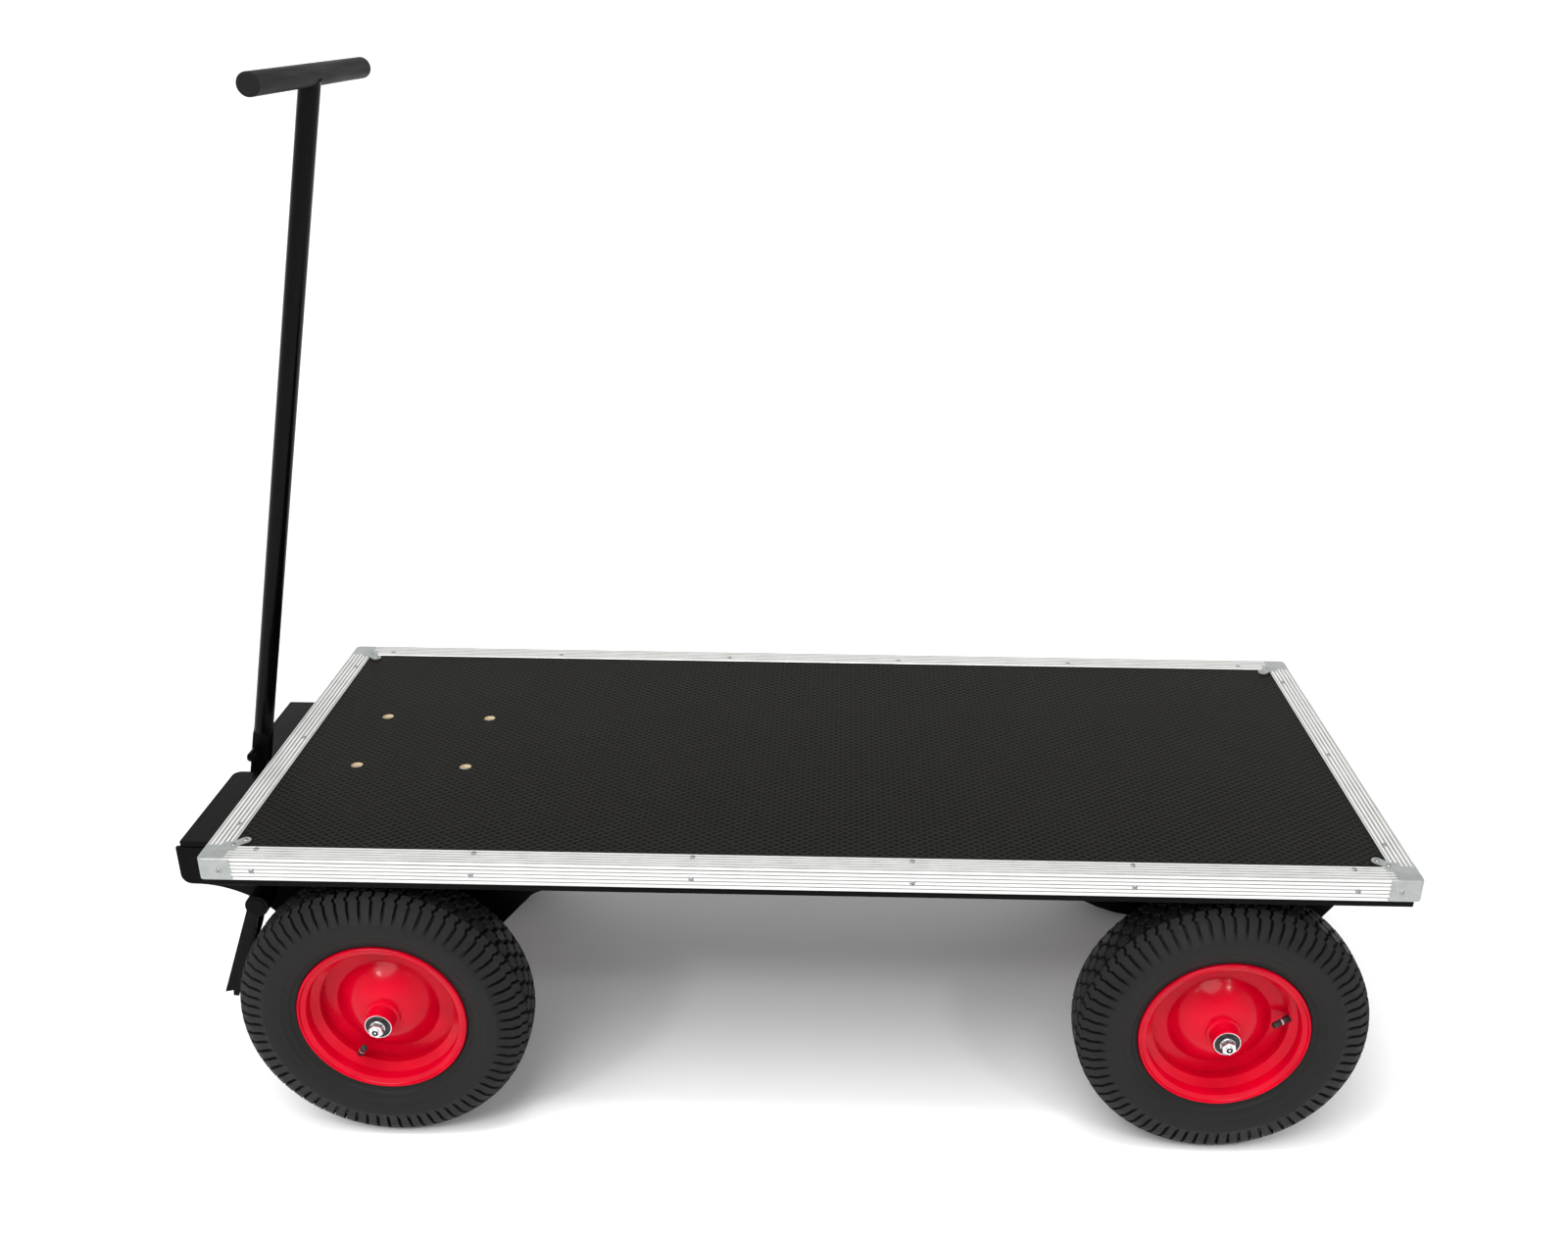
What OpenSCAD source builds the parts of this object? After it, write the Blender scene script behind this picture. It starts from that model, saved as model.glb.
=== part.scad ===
// Platform trolley: plywood deck with aluminium edging on a steel frame,
// a steered front bogie on a ball turntable, a fixed rear bogie, a tilting
// drawbar with a T handle, and a tyre brake that the drawbar works.
// Front is -X, left is -Y. The origin is on the floor, at the middle of the
// overall length and width.

/* [Deck] */
// Length over the edging
deck_l = 1500; // [1300:10:2000]
// Width over the edging
deck_w = 650; // [620:5:900]
// Height of the deck's top above the floor
deck_h = 438; // [430:1:500]
// Thickness of the plywood
board_t = 15; // [12:1:21]
// Width of the edging's top flange
edge_top = 32; // [25:1:40]
// Height of the edging's side flange
edge_side = 30; // [22:1:40]
// Thickness of the edging
edge_t = 2; // [1.5:0.1:2.5]
// Length of a corner brace along each edge
brace_leg = 36; // [32:1:45]

/* [Frame] */
// Height of the frame tubes
rail_h = 25; // [22:1:30]
// Width of the frame tubes
rail_w = 40; // [30:1:50]
// Wall of the frame tubes
rail_wall = 2.5; // [1.5:0.1:3]
// How far the frame is set in under the edging
rail_inset = 6; // [4:1:20]

/* [Wheels] */
// Diameter of the tyre
wheel_d = 380; // [370:1:380]
// Width of the tyre
tyre_w = 95; // [90:1:100]
// Distance between the two tyres' middles
track = 548; // [540:1:600]
// Height of the tyre's side, from the rim's flange to the crown
tyre_side = 79; // [70:1:84]
// Length of the hub
hub_l = 110; // [104:1:116]
// Outer diameter of the hub
hub_d = 38; // [37:0.5:42]
// Outer diameter of the bearing
bearing_od = 35; // [32:0.5:35]
// Width of the bearing
bearing_w = 11; // [9:0.5:12]
// Diameter of the axle
axle_d = 15; // [12:0.5:17]
// Distance from the deck's front edge to the front axle and king pin
front_axle_in = 197; // [190:1:260]
// Distance from the deck's rear edge to the rear axle
rear_axle_in = 210; // [200:1:300]

/* [Bogies] */
// Width over the cheek plates
bogie_w = 422.6; // [400:0.2:430]
// Thickness of the cheek and top plates
plate_t = 5; // [4:0.5:6]
// How far the bogie's nose stands ahead of the deck
nose_ahead = 82.5; // [75:0.5:100]
// Gap between the frame and the steered top plate
steer_gap = 4.5; // [3:0.5:6]
// Width of the drawbar's notch in the nose
notch_w = 35; // [33:1:40]

/* [Turntable] */
// Diameter of the ball circle
ball_pcd = 270; // [250:5:280]
// Diameter of one ball
ball_d = 10; // [8:0.5:10]
// How many balls
ball_count = 24; // [16:1:36]
// Diameter of the king pin
king_pin_d = 20; // [16:1:24]
// Spacing of the four turntable bolts, both ways
bolt_pitch = 150; // [130:5:150]

/* [Drawbar] */
// Diameter of the drawbar tube
bar_d = 26; // [25:0.5:28]
// Wall of the drawbar tube
bar_wall = 2.5; // [2:0.1:3]
// Distance from the pivot to the handle's axis
bar_l = 965; // [800:5:1100]
// How far the parked drawbar leans back, in degrees
bar_lean = 12; // [8:0.5:12]
// Length of the T handle
handle_l = 396; // [300:2:450]
// Diameter of the drawbar's pivot pin
pivot_d = 12; // [10:0.5:12]

/* [Brake] */
// Diameter of the brake's cross-shaft
brake_d = 22; // [20:0.5:24]
// Lean of the brake arms ahead of the vertical, in degrees
arm_lean = 20.3; // [20:0.1:21]
// Width of a brake arm across the tyre
arm_w = 30; // [24:1:34]
// Length of a brake arm, from the shaft to its notch
arm_l = 150; // [140:1:160]

/* [Hidden] */
$fn = 64;

LEFT = -1;
RIGHT = 1;
wheel_seg = 96;
cut = 1;              // how far a cutting shape runs past a face
run_fit = 0.08;       // radial clearance of a turning fit
slip_fit = 0.1;       // radial clearance of a fit that doesn't turn
float_gap = 0.3;      // gap between faces that turn past each other

// Places along X
rivet_r = 3.4;
rivet_h = 1.5;
deck_x = (nose_ahead - rivet_h) / 2;
front_x = deck_x - deck_l / 2 + front_axle_in;
rear_x = deck_x + deck_l / 2 - rear_axle_in;

// Heights
wheel_r = wheel_d / 2;
board_top = deck_h - edge_t;
board_z = board_top - board_t;
rail_z = board_z - rail_h;
bogie_top = rail_z - steer_gap;
bogie_under = bogie_top - plate_t;
lip_h = 4;
cheek_top = bogie_under - lip_h;
cheek_y = bogie_w / 2 - plate_t;
rear_under = rail_z - plate_t;

// Wheel
flange_r = wheel_r - tyre_side;
rim_half = tyre_w / 2 - 8.3;
bearing_r = bearing_od / 2;
axle_r = axle_d / 2;
hub_out = track / 2 + hub_l / 2;
hub_in = track / 2 - hub_l / 2;
bearing_inset = 0.5;
nut_af = 17;
nut_h = 8;
stud_r = 5;
washer_t = 2.5;

// Turntable
plate_w = ball_pcd + 34;
plate_front = front_axle_in - rail_inset - rail_w - 0.5;
ball_r = ball_d / 2;
race_w = 30;
race_gap = 1.4;
race_top = board_z - plate_t;
ball_z = (bogie_top + race_top) / 2;
turn_bolt_r = 4;
head_depth = 9;

// Drawbar, in its own frame: s runs up the bar from the pivot
pivot_up = 19.5;
pivot_z = bogie_top - pivot_up;
pivot_x = front_x - 246.4;
foot_w = 22;
foot_d = 22;
foot_l = 78;
heel_r = 24;
heel_tip_r = 6;
heel_turn = 40;
lug_t = 6;

// Brake
brake_x = pivot_x + 88.4;
brake_z = pivot_z - 40;
brake_r = brake_d / 2;
sleeve_r = brake_r + 4;
arm_mid = hub_out - 76;
arm_t = 3;
finger_end = 79;
finger_t = 8;
finger_w = 10;
finger_top = pivot_z - heel_r * cos(heel_turn) - heel_tip_r - float_gap;

steel_black = "#1a1a1c";
zinc = "#b9bcbe";
alu = "#c9ccce";
red = "#c8102e";

// ---------------------------------------------------------------- helpers

module along_y(length) {
    rotate([90, 0, 0]) linear_extrude(length, center = true) children();
}

module mirror_both() {
    for (sx = [-1, 1], sy = [-1, 1]) scale_sign(sx, sy) children();
}

module scale_sign(sx, sy) {
    mirror([sx < 0 ? 1 : 0, 0, 0]) mirror([0, sy < 0 ? 1 : 0, 0]) children();
}

// A hexagon of a given width across flats
module hex(af) {
    circle(r = af / 2 / cos(30), $fn = 6);
}

// A wheel's own frame: +Z points out of the trolley along the axle
module at_wheel(axle_x, side) {
    translate([axle_x, side * track / 2, wheel_r]) rotate([-90 * side, 0, 0]) children();
}

// The drawbar's own frame: +Z runs up the leaning bar from its pivot
module at_drawbar() {
    translate([pivot_x, 0, pivot_z]) rotate([0, bar_lean, 0]) children();
}

// ------------------------------------------------------------------- deck

tab_r = 7;
tab_first = 34;
tab_second = 45;
film_t = 0.2;
film_x = deck_l / 2 - edge_top - slip_fit;
film_y = deck_w / 2 - edge_top - slip_fit;
film_corner = 2 * (tab_second + tab_r) - 2 * edge_top;

// The wear film lies inside the edging and clears the corner tabs
module deck_board() {
    color("#2b2926") translate([deck_x, 0, 0]) difference() {
        union() {
            translate([0, 0, board_z + board_t / 2])
                cube([deck_l - 2 * edge_t, deck_w - 2 * edge_t, board_t], center = true);
            translate([0, 0, board_top - 1]) linear_extrude(1 + film_t) polygon([
                [film_x, film_corner - film_y], [film_x, film_y - film_corner],
                [film_x - film_corner, film_y], [film_corner - film_x, film_y],
                [-film_x, film_y - film_corner], [-film_x, film_corner - film_y],
                [film_corner - film_x, -film_y], [film_x - film_corner, -film_y]]);
        }
        translate([front_x - deck_x, 0, 0]) turntable_holes() {
            translate([0, 0, board_z - cut]) cylinder(r = turn_bolt_r + slip_fit, h = board_t + 2 * cut);
            translate([0, 0, board_top - head_depth]) cylinder(r = 8, h = head_depth + cut);
        }
    }
}

module turntable_holes() {
    for (sx = [-1, 1], sy = [-1, 1])
        translate([sx * bolt_pitch / 2, sy * bolt_pitch / 2, 0]) children();
}

// Edging along +X, with its outer corner on the X axis and the deck on +Y,
// its ends notched for the corner tabs
module edging(length) {
    difference() {
        rotate([90, 0, 90]) linear_extrude(length, center = true) difference() {
            translate([0, -edge_side]) square([edge_top, edge_side]);
            translate([edge_t, -edge_side - cut]) square([edge_top, edge_side - edge_t + cut]);
        }
        for (end = [0, 1]) mirror([end, 0, 0])
            translate([length / 2 + brace_leg, 0, -edge_t - cut]) rotate(135)
                translate([0, -tab_r - slip_fit, 0])
                    cube([2 * edge_top + brace_leg, 2 * (tab_r + slip_fit), edge_t + 2 * cut]);
    }
}

module edging_sides() {
    color(alu) for (side = [LEFT, RIGHT])
        translate([deck_x, side * deck_w / 2, deck_h]) rotate([0, 0, side > 0 ? 180 : 0])
            edging(deck_l - 2 * brace_leg);
}

module edging_ends() {
    color(alu) for (end = [-1, 1])
        translate([deck_x + end * deck_l / 2, 0, deck_h]) rotate([0, 0, 90 * end])
            edging(deck_w - 2 * brace_leg);
}

module brace() {
    translate([0, 0, board_top - deck_h]) linear_extrude(edge_t) {
        square([brace_leg, brace_leg]);
        rotate(45) polygon(concat([[2 * tab_r, -tab_r]],
            arc(tab_second * sqrt(2), 0, tab_r, -90, 90, 12), [[2 * tab_r, tab_r]]));
    }
    translate([0, 0, -edge_side]) difference() {
        cube([brace_leg, brace_leg, edge_side]);
        translate([edge_t, edge_t, -cut]) cube([brace_leg, brace_leg, edge_side + 2 * cut]);
    }
}

module corner_braces() {
    color(zinc) translate([deck_x, 0, 0]) mirror_both()
        translate([-deck_l / 2, -deck_w / 2, deck_h]) brace();
}

module rivet_head() {
    cylinder(r = rivet_r, h = rivet_h);
}

rivet_in = 24;
rivet_down = 17;
side_rivets = 6;
side_rivet_first = 66;
side_rivet_pitch = (deck_l - 145) / (side_rivets - 1);
end_rivet_y = deck_w / 2 - 83;
brace_rivet = 26;

module edging_rivets() {
    color(zinc) {
        for (side = [LEFT, RIGHT], i = [0 : side_rivets - 1]) {
            x = deck_x - deck_l / 2 + side_rivet_first + i * side_rivet_pitch;
            translate([x, side * (deck_w / 2 - rivet_in), deck_h]) rivet_head();
            translate([x, side * deck_w / 2, deck_h - rivet_down])
                rotate([-90 * side, 0, 0]) rivet_head();
        }
        for (end = [-1, 1], y = [-end_rivet_y, 0, end_rivet_y]) {
            x = deck_x + end * deck_l / 2;
            translate([x - end * rivet_in, y, deck_h]) rivet_head();
            translate([x, y, deck_h - rivet_down]) rotate([0, 90 * end, 0]) rivet_head();
        }
        translate([deck_x, 0, 0]) mirror_both() translate([-deck_l / 2, -deck_w / 2, deck_h]) {
            for (d = [tab_first, tab_second]) translate([d, d, 0]) rivet_head();
            translate([brace_rivet, 0, -rivet_down]) rotate([90, 0, 0]) rivet_head();
            translate([0, brace_rivet, -rivet_down]) rotate([0, -90, 0]) rivet_head();
        }
    }
}

// ------------------------------------------------------------------ frame

rail_y = deck_w / 2 - rail_inset - rail_w / 2;
rail_l = deck_l - 2 * rail_inset;
cross_l = deck_w - 2 * rail_inset - 2 * rail_w;

// A rectangular tube along X
module tube_rail(length) {
    translate([0, 0, rail_z + rail_h / 2]) difference() {
        cube([length, rail_w, rail_h], center = true);
        cube([length + 2 * cut, rail_w - 2 * rail_wall, rail_h - 2 * rail_wall], center = true);
    }
}

module side_rail(side) {
    color(steel_black) translate([deck_x, side * rail_y, 0]) tube_rail(rail_l);
}

module side_rail_left() { side_rail(LEFT); }
module side_rail_right() { side_rail(RIGHT); }

module end_rails() {
    color(steel_black) for (end = [-1, 1])
        translate([deck_x + end * (rail_l - rail_w) / 2, 0, 0]) rotate([0, 0, 90]) tube_rail(cross_l);
}

rear_bolt_x = [rear_x - 170, rear_x + 120];
rear_bolt_y = 150;
rear_bolt_r = 5;
cross_x = concat([front_x + 223, front_x + 553], rear_bolt_x);

module cross_rails() {
    color(steel_black) difference() {
        for (x = cross_x) translate([x, 0, 0]) rotate([0, 0, 90]) tube_rail(cross_l);
        rear_bolt_places() translate([0, 0, rail_z - cut])
            cylinder(r = rear_bolt_r + slip_fit, h = rail_wall + 2 * cut);
    }
}

module rear_bolt_places() {
    for (x = rear_bolt_x, side = [LEFT, RIGHT]) translate([x, side * rear_bolt_y, 0]) children();
}

// -------------------------------------------------------------- turntable

module turntable_plate() {
    color(steel_black) translate([front_x, 0, 0]) difference() {
        translate([-plate_front, -plate_w / 2, race_top]) cube([plate_front + plate_w / 2, plate_w, plate_t]);
        turntable_holes() translate([0, 0, race_top - cut])
            cylinder(r = turn_bolt_r + slip_fit, h = plate_t + 2 * cut);
        translate([0, 0, race_top - cut]) cylinder(r = king_pin_d / 2 + slip_fit, h = plate_t + 2 * cut);
    }
}

module race(bottom, top) {
    translate([front_x, 0, 0]) rotate_extrude($fn = wheel_seg) difference() {
        translate([(ball_pcd - race_w) / 2, bottom]) square([race_w, top - bottom]);
        translate([ball_pcd / 2, ball_z]) circle(r = ball_r + 0.2, $fn = 48);
    }
}

module upper_race() {
    color("#77797c") race(ball_z + race_gap / 2, race_top);
}

module lower_race() {
    color("#77797c") race(bogie_top, ball_z - race_gap / 2);
}

module turntable_balls() {
    color(zinc) translate([front_x, 0, ball_z]) for (i = [0 : ball_count - 1])
        rotate(i * 360 / ball_count) translate([ball_pcd / 2, 0, 0]) sphere(r = ball_r, $fn = 32);
}

bolt_head_h = 5;
bolt_head_r = 6.5;
turn_nut_h = 6.5;

module turntable_bolts() {
    color(zinc) translate([front_x, 0, 0]) turntable_holes() {
        translate([0, 0, board_top - head_depth]) cylinder(r = bolt_head_r, h = bolt_head_h);
        translate([0, 0, race_top - turn_nut_h - 2])
            cylinder(r = turn_bolt_r, h = board_top - head_depth - race_top + turn_nut_h + 2);
        translate([0, 0, race_top - turn_nut_h]) linear_extrude(turn_nut_h) hex(13);
    }
}

collar_h = 20;
king_nut_h = 12;
king_washer_t = 3;

module king_pin() {
    collar_z = bogie_under - collar_h;
    color(zinc) translate([front_x, 0, 0]) {
        translate([0, 0, collar_z - float_gap - king_washer_t - king_nut_h - 4])
            cylinder(r = king_pin_d / 2, h = board_z - collar_z + float_gap + king_washer_t + king_nut_h + 4);
        translate([0, 0, collar_z - float_gap - king_washer_t]) cylinder(r = king_pin_d / 2 + 12, h = king_washer_t);
        translate([0, 0, collar_z - float_gap - king_washer_t - king_nut_h])
            linear_extrude(king_nut_h) hex(king_pin_d * 1.5);
    }
}

module king_pin_collar() {
    color(steel_black) translate([front_x, 0, bogie_under - collar_h]) difference() {
        cylinder(r = king_pin_d / 2 + 10, h = collar_h);
        translate([0, 0, -cut]) cylinder(r = king_pin_d / 2 + run_fit, h = collar_h + 2 * cut);
    }
}

// ----------------------------------------------------------- front bogie

// Outline points are measured from the axle: [along X, height above the axle]
nose_u = -front_axle_in - nose_ahead;
tail_u = 196;
boss_r = 42;
nose_sink = 10;
nose_drop = 56;
nose_round = 14;
throat_r = 145;
throat_u = nose_u + 17.5;

function arc(cx, cz, r, a0, a1, steps) =
    [for (i = [0 : steps]) let (a = a0 + (a1 - a0) * i / steps) [cx + r * cos(a), cz + r * sin(a)]];

front_top = cheek_top - wheel_r;
nose_low = front_top - nose_drop;

module front_outline() {
    polygon(concat(
        [[nose_u, front_top]],
        arc(nose_u + nose_round, nose_low + nose_round, nose_round, 180, 270, 8),
        arc(throat_u, nose_low - throat_r, throat_r, 90, 22, 20),
        arc(0, 0, boss_r, 215, 325, 12),
        [[76, 10], [tail_u - 4, front_top - 56]],
        arc(tail_u - 8, front_top - 48, 8, -40, 0, 4),
        [[tail_u, front_top]]));
}

module cheek(axle_x, side) {
    color(steel_black) translate([axle_x, side * (cheek_y + plate_t / 2), wheel_r])
        rotate([90, 0, 0]) linear_extrude(plate_t, center = true) children();
}

module front_cheek(side) {
    cheek(front_x, side) difference() {
        front_outline();
        circle(r = axle_r + slip_fit);
        translate([brake_x - front_x, brake_z - wheel_r]) circle(r = brake_r + run_fit);
    }
}

module front_cheek_left() { front_cheek(LEFT); }
module front_cheek_right() { front_cheek(RIGHT); }

plate_nose = nose_u + 6;
notch_depth = 61;
corner_r = 12;

// The top plate has a notch for the drawbar and folded lips at its sides
module front_bogie_plate() {
    half = bogie_w / 2 - 1;
    color(steel_black) translate([front_x, 0, 0]) {
        translate([0, 0, bogie_under]) linear_extrude(plate_t) difference() {
            translate([plate_nose, -half]) square([tail_u - plate_nose, 2 * half]);
            translate([plate_nose - cut, -notch_w / 2]) square([notch_depth + cut, notch_w]);
            for (side = [LEFT, RIGHT]) translate([plate_nose, side * notch_w / 2]) difference() {
                translate([-cut, side > 0 ? -cut : -corner_r]) square([corner_r + cut, corner_r + cut]);
                translate([corner_r, side * corner_r]) circle(r = corner_r);
            }
            circle(r = king_pin_d / 2 + run_fit);
        }
        for (side = [LEFT, RIGHT])
            translate([plate_nose, side > 0 ? half - plate_t : -half, cheek_top])
                cube([tail_u - plate_nose, plate_t, lip_h]);
    }
}

// Axle bar with a shoulder inside each wheel and a thread for each nut
module axle(axle_x) {
    seat = hub_out - 0.2;
    color(zinc) translate([axle_x, 0, wheel_r]) rotate([90, 0, 0]) {
        cylinder(r = axle_r, h = 2 * seat, center = true);
        cylinder(r = stud_r, h = 2 * (seat + washer_t + nut_h + 2.5), center = true);
        for (side = [LEFT, RIGHT]) translate([0, 0, side > 0 ? bogie_w / 2 : -(hub_in + float_gap)])
            cylinder(r = axle_r + 2.5, h = hub_in + float_gap - bogie_w / 2);
    }
}

module front_axle() { axle(front_x); }
module rear_axle() { axle(rear_x); }

module axle_tube(axle_x) {
    color(steel_black) translate([axle_x, 0, wheel_r]) rotate([90, 0, 0]) difference() {
        cylinder(r = axle_r + 8, h = 2 * cheek_y, center = true);
        cylinder(r = axle_r + slip_fit, h = 2 * cheek_y + 2 * cut, center = true);
    }
}

module front_axle_tube() { axle_tube(front_x); }
module rear_axle_tube() { axle_tube(rear_x); }

module wheel_nuts(axle_x) {
    seat = hub_out - 0.2;
    color(zinc) for (side = [LEFT, RIGHT])
        translate([axle_x, side * seat, wheel_r]) rotate([-90 * side, 0, 0]) difference() {
            union() {
                cylinder(r = 10, h = washer_t);
                translate([0, 0, washer_t]) linear_extrude(nut_h) hex(nut_af);
            }
            translate([0, 0, -cut]) cylinder(r = stud_r + slip_fit, h = nut_h + washer_t + 2 * cut);
        }
}

module front_wheel_nuts() { wheel_nuts(front_x); }
module rear_wheel_nuts() { wheel_nuts(rear_x); }

// ------------------------------------------------------------ rear bogie

rear_top = rear_under - wheel_r;
rear_front_u = -245;
rear_tail_u = 198;
belly_r = 180;
belly_u = -89.5;
belly_z = 112.5;

module rear_outline() {
    belly_start = asin((rear_top - belly_z - belly_r) / belly_r);
    polygon(concat(
        arc(belly_u, belly_z + belly_r, belly_r, 180 - belly_start, 270, 16),
        [[belly_u + 30, belly_z - 8]],
        arc(0, 0, boss_r, 180, 330, 14),
        [[rear_tail_u, rear_top]]));
}

module rear_cheek(side) {
    cheek(rear_x, side) difference() {
        rear_outline();
        circle(r = axle_r + slip_fit);
    }
}

module rear_cheek_left() { rear_cheek(LEFT); }
module rear_cheek_right() { rear_cheek(RIGHT); }

module rear_bogie_plate() {
    color(steel_black) difference() {
        translate([rear_x + rear_front_u, -bogie_w / 2, rear_under])
            cube([rear_tail_u - rear_front_u, bogie_w, plate_t]);
        rear_bolt_places() translate([0, 0, rear_under - cut])
            cylinder(r = rear_bolt_r + slip_fit, h = plate_t + 2 * cut);
    }
}

module rear_bogie_bolts() {
    color(zinc) rear_bolt_places() {
        translate([0, 0, rear_under]) cylinder(r = rear_bolt_r, h = plate_t + rail_wall + 8);
        translate([0, 0, rear_under - 6.4]) linear_extrude(6.4) hex(17);
        translate([0, 0, rail_z + rail_wall]) linear_extrude(6) hex(15);
    }
}

// --------------------------------------------------------------- drawbar

lug_y = notch_w / 2 - 0.5;
spacer_gap = 0.2;

module drawbar_lugs() {
    color(steel_black) for (side = [LEFT, RIGHT])
        translate([pivot_x, side * (lug_y + lug_t / 2), 0]) along_y(lug_t) difference() {
            union() {
                translate([-14, pivot_z]) square([28, bogie_under - pivot_z]);
                translate([0, pivot_z]) circle(r = 14);
            }
            translate([0, pivot_z]) circle(r = pivot_d / 2 + slip_fit);
        }
}

module drawbar_pivot_pin() {
    reach = lug_y + lug_t;
    color(zinc) translate([pivot_x, 0, pivot_z]) rotate([90, 0, 0]) {
        cylinder(r = pivot_d / 2, h = 2 * reach, center = true);
        translate([0, 0, reach]) cylinder(r = pivot_d / 2 + 3, h = 4);
        translate([0, 0, -reach - 6]) linear_extrude(6) hex(18);
        for (side = [LEFT, RIGHT])
            translate([0, 0, side > 0 ? foot_w / 2 + spacer_gap : -lug_y + spacer_gap]) difference() {
                cylinder(r = pivot_d / 2 + 4, h = lug_y - foot_w / 2 - 2 * spacer_gap);
                cylinder(r = pivot_d / 2 - cut, h = lug_y - foot_w / 2);
            }
    }
}

plug_l = 32;

// The foot is a forged bar on the pivot; its heel presses the brake's finger
module drawbar_foot() {
    color(steel_black) difference() {
        union() {
            translate([pivot_x, 0, pivot_z]) along_y(foot_w) {
                rotate(-bar_lean) translate([-foot_d / 2, 0]) square([foot_d, foot_l]);
                circle(r = 14);
            }
            at_drawbar() translate([0, 0, foot_l - 4])
                cylinder(r = bar_d / 2 - bar_wall - slip_fit, h = plug_l + 4);
            translate([pivot_x, 0, pivot_z]) rotate([0, -heel_turn, 0]) along_y(2 * heel_tip_r)
                polygon(concat([[heel_tip_r, -8]], arc(0, -heel_r, heel_tip_r, 0, -180, 16),
                    [[-heel_tip_r, -8]]));
        }
        translate([pivot_x, 0, pivot_z]) rotate([90, 0, 0])
            cylinder(r = pivot_d / 2 + run_fit, h = foot_w + 2 * cut, center = true);
        at_drawbar() translate([-cross_in, 0, cross_up]) rotate([90, 0, 0])
            cylinder(r = cross_r + slip_fit, h = foot_w + 2 * cut, center = true);
    }
}

cross_r = 5.5;
cross_up = 52;
cross_in = 4;
cross_reach = 34;

module drawbar_cross_pin() {
    color(steel_black) at_drawbar() translate([-cross_in, 0, cross_up]) rotate([90, 0, 0])
        cylinder(r = cross_r, h = 2 * cross_reach, center = true);
}

module drawbar_tube() {
    color(steel_black) at_drawbar() difference() {
        translate([0, 0, foot_l]) cylinder(r = bar_d / 2, h = bar_l - foot_l);
        translate([0, 0, foot_l - cut]) cylinder(r = bar_d / 2 - bar_wall, h = bar_l);
        translate([0, 0, bar_l]) rotate([90, 0, 0]) cylinder(r = bar_d / 2, h = 2 * bar_d, center = true);
    }
}

handle_plug_t = 3;

module handle_tube() {
    color("#26231f") at_drawbar() translate([0, 0, bar_l]) rotate([90, 0, 0]) difference() {
        cylinder(r = bar_d / 2, h = handle_l - 2 * handle_plug_t, center = true);
        cylinder(r = bar_d / 2 - bar_wall, h = handle_l, center = true);
    }
}

module handle_plugs() {
    color("#1c1b1a") at_drawbar() translate([0, 0, bar_l]) for (side = [LEFT, RIGHT])
        rotate([-90 * side, 0, 0]) translate([0, 0, handle_l / 2 - handle_plug_t]) {
            cylinder(r = bar_d / 2, h = handle_plug_t);
            translate([0, 0, -14]) cylinder(r = bar_d / 2 - bar_wall - slip_fit, h = 14);
        }
}

// ----------------------------------------------------------------- brake

module brake_shaft() {
    color(steel_black) translate([brake_x, 0, brake_z]) rotate([90, 0, 0])
        cylinder(r = brake_r, h = 2 * (arm_mid + arm_w / 2 + 3), center = true);
}

// The arm's frame: s runs down the arm, t points back at the tyre
arm_front = -11.5;
arm_reach = hypot_ratio() - wheel_r - 1;
function hypot_ratio() =
    (front_x - brake_x) * cos(arm_lean) + (brake_z - wheel_r) * sin(arm_lean);

module arm_profile(tip) {
    polygon([[arm_front, 0], [4, 0], [4, -12], [arm_reach, -40], [arm_reach, -arm_l],
        [0, -arm_l - tip], [-2, -arm_l + 6], [arm_front, -arm_l]]);
}

module brake_arm(side) {
    color(steel_black) translate([brake_x, side * arm_mid, brake_z]) difference() {
        union() {
            rotate([0, arm_lean, 0]) {
                along_y(arm_w) polygon([[arm_front, 0], [arm_front + arm_t, 0],
                    [arm_front + arm_t, -arm_l + 6], [arm_front, -arm_l]]);
                translate([0, side * (arm_w - arm_t) / 2, 0]) along_y(arm_t) arm_profile(2);
                translate([0, -side * (arm_w - arm_t) / 2, 0]) along_y(arm_t) arm_profile(26);
            }
            rotate([90, 0, 0]) cylinder(r = sleeve_r, h = arm_w + 4, center = true);
        }
        rotate([90, 0, 0]) cylinder(r = brake_r + slip_fit, h = arm_w + 8, center = true);
    }
}

module brake_arm_left() { brake_arm(LEFT); }
module brake_arm_right() { brake_arm(RIGHT); }

module brake_finger() {
    color(steel_black) translate([brake_x, 0, brake_z]) difference() {
        union() {
            rotate([90, 0, 0]) cylinder(r = sleeve_r, h = 24, center = true);
            translate([-finger_end, -finger_w / 2, finger_top - brake_z - finger_t])
                cube([finger_end, finger_w, finger_t]);
        }
        rotate([90, 0, 0]) cylinder(r = brake_r + slip_fit, h = 24 + 2 * cut, center = true);
    }
}

spring_wire = 3;
spring_turns = 8;

module brake_return_spring() {
    color(zinc) translate([brake_x, 20, brake_z]) rotate([-90, 0, 0])
        for (i = [0 : spring_turns - 1]) translate([0, 0, i * (spring_wire + 0.1)])
            rotate_extrude($fn = 48) translate([brake_r + 3.5, 0]) circle(d = spring_wire, $fn = 16);
}

// ---------------------------------------------------------------- wheels

mid_r = wheel_r - 42;
wall_t = 8;
crown_t = 10;
seat_r = flange_r - 9.2;
bead_r = seat_r + 0.1;
bead_half = rim_half - 5.7;
foot_z = flange_r - mid_r;

function swell(a, b, t) =
    [a * pow(cos(t), 2 / 3), mid_r + b * pow(sin(t), 2 / 3)];
function side_wall(a, b, t) = [a * cos(t), mid_r - b * sin(t)];
function mirrored(pts) = [for (i = [len(pts) - 1 : -1 : 0]) [-pts[i][0], pts[i][1]]];

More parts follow.
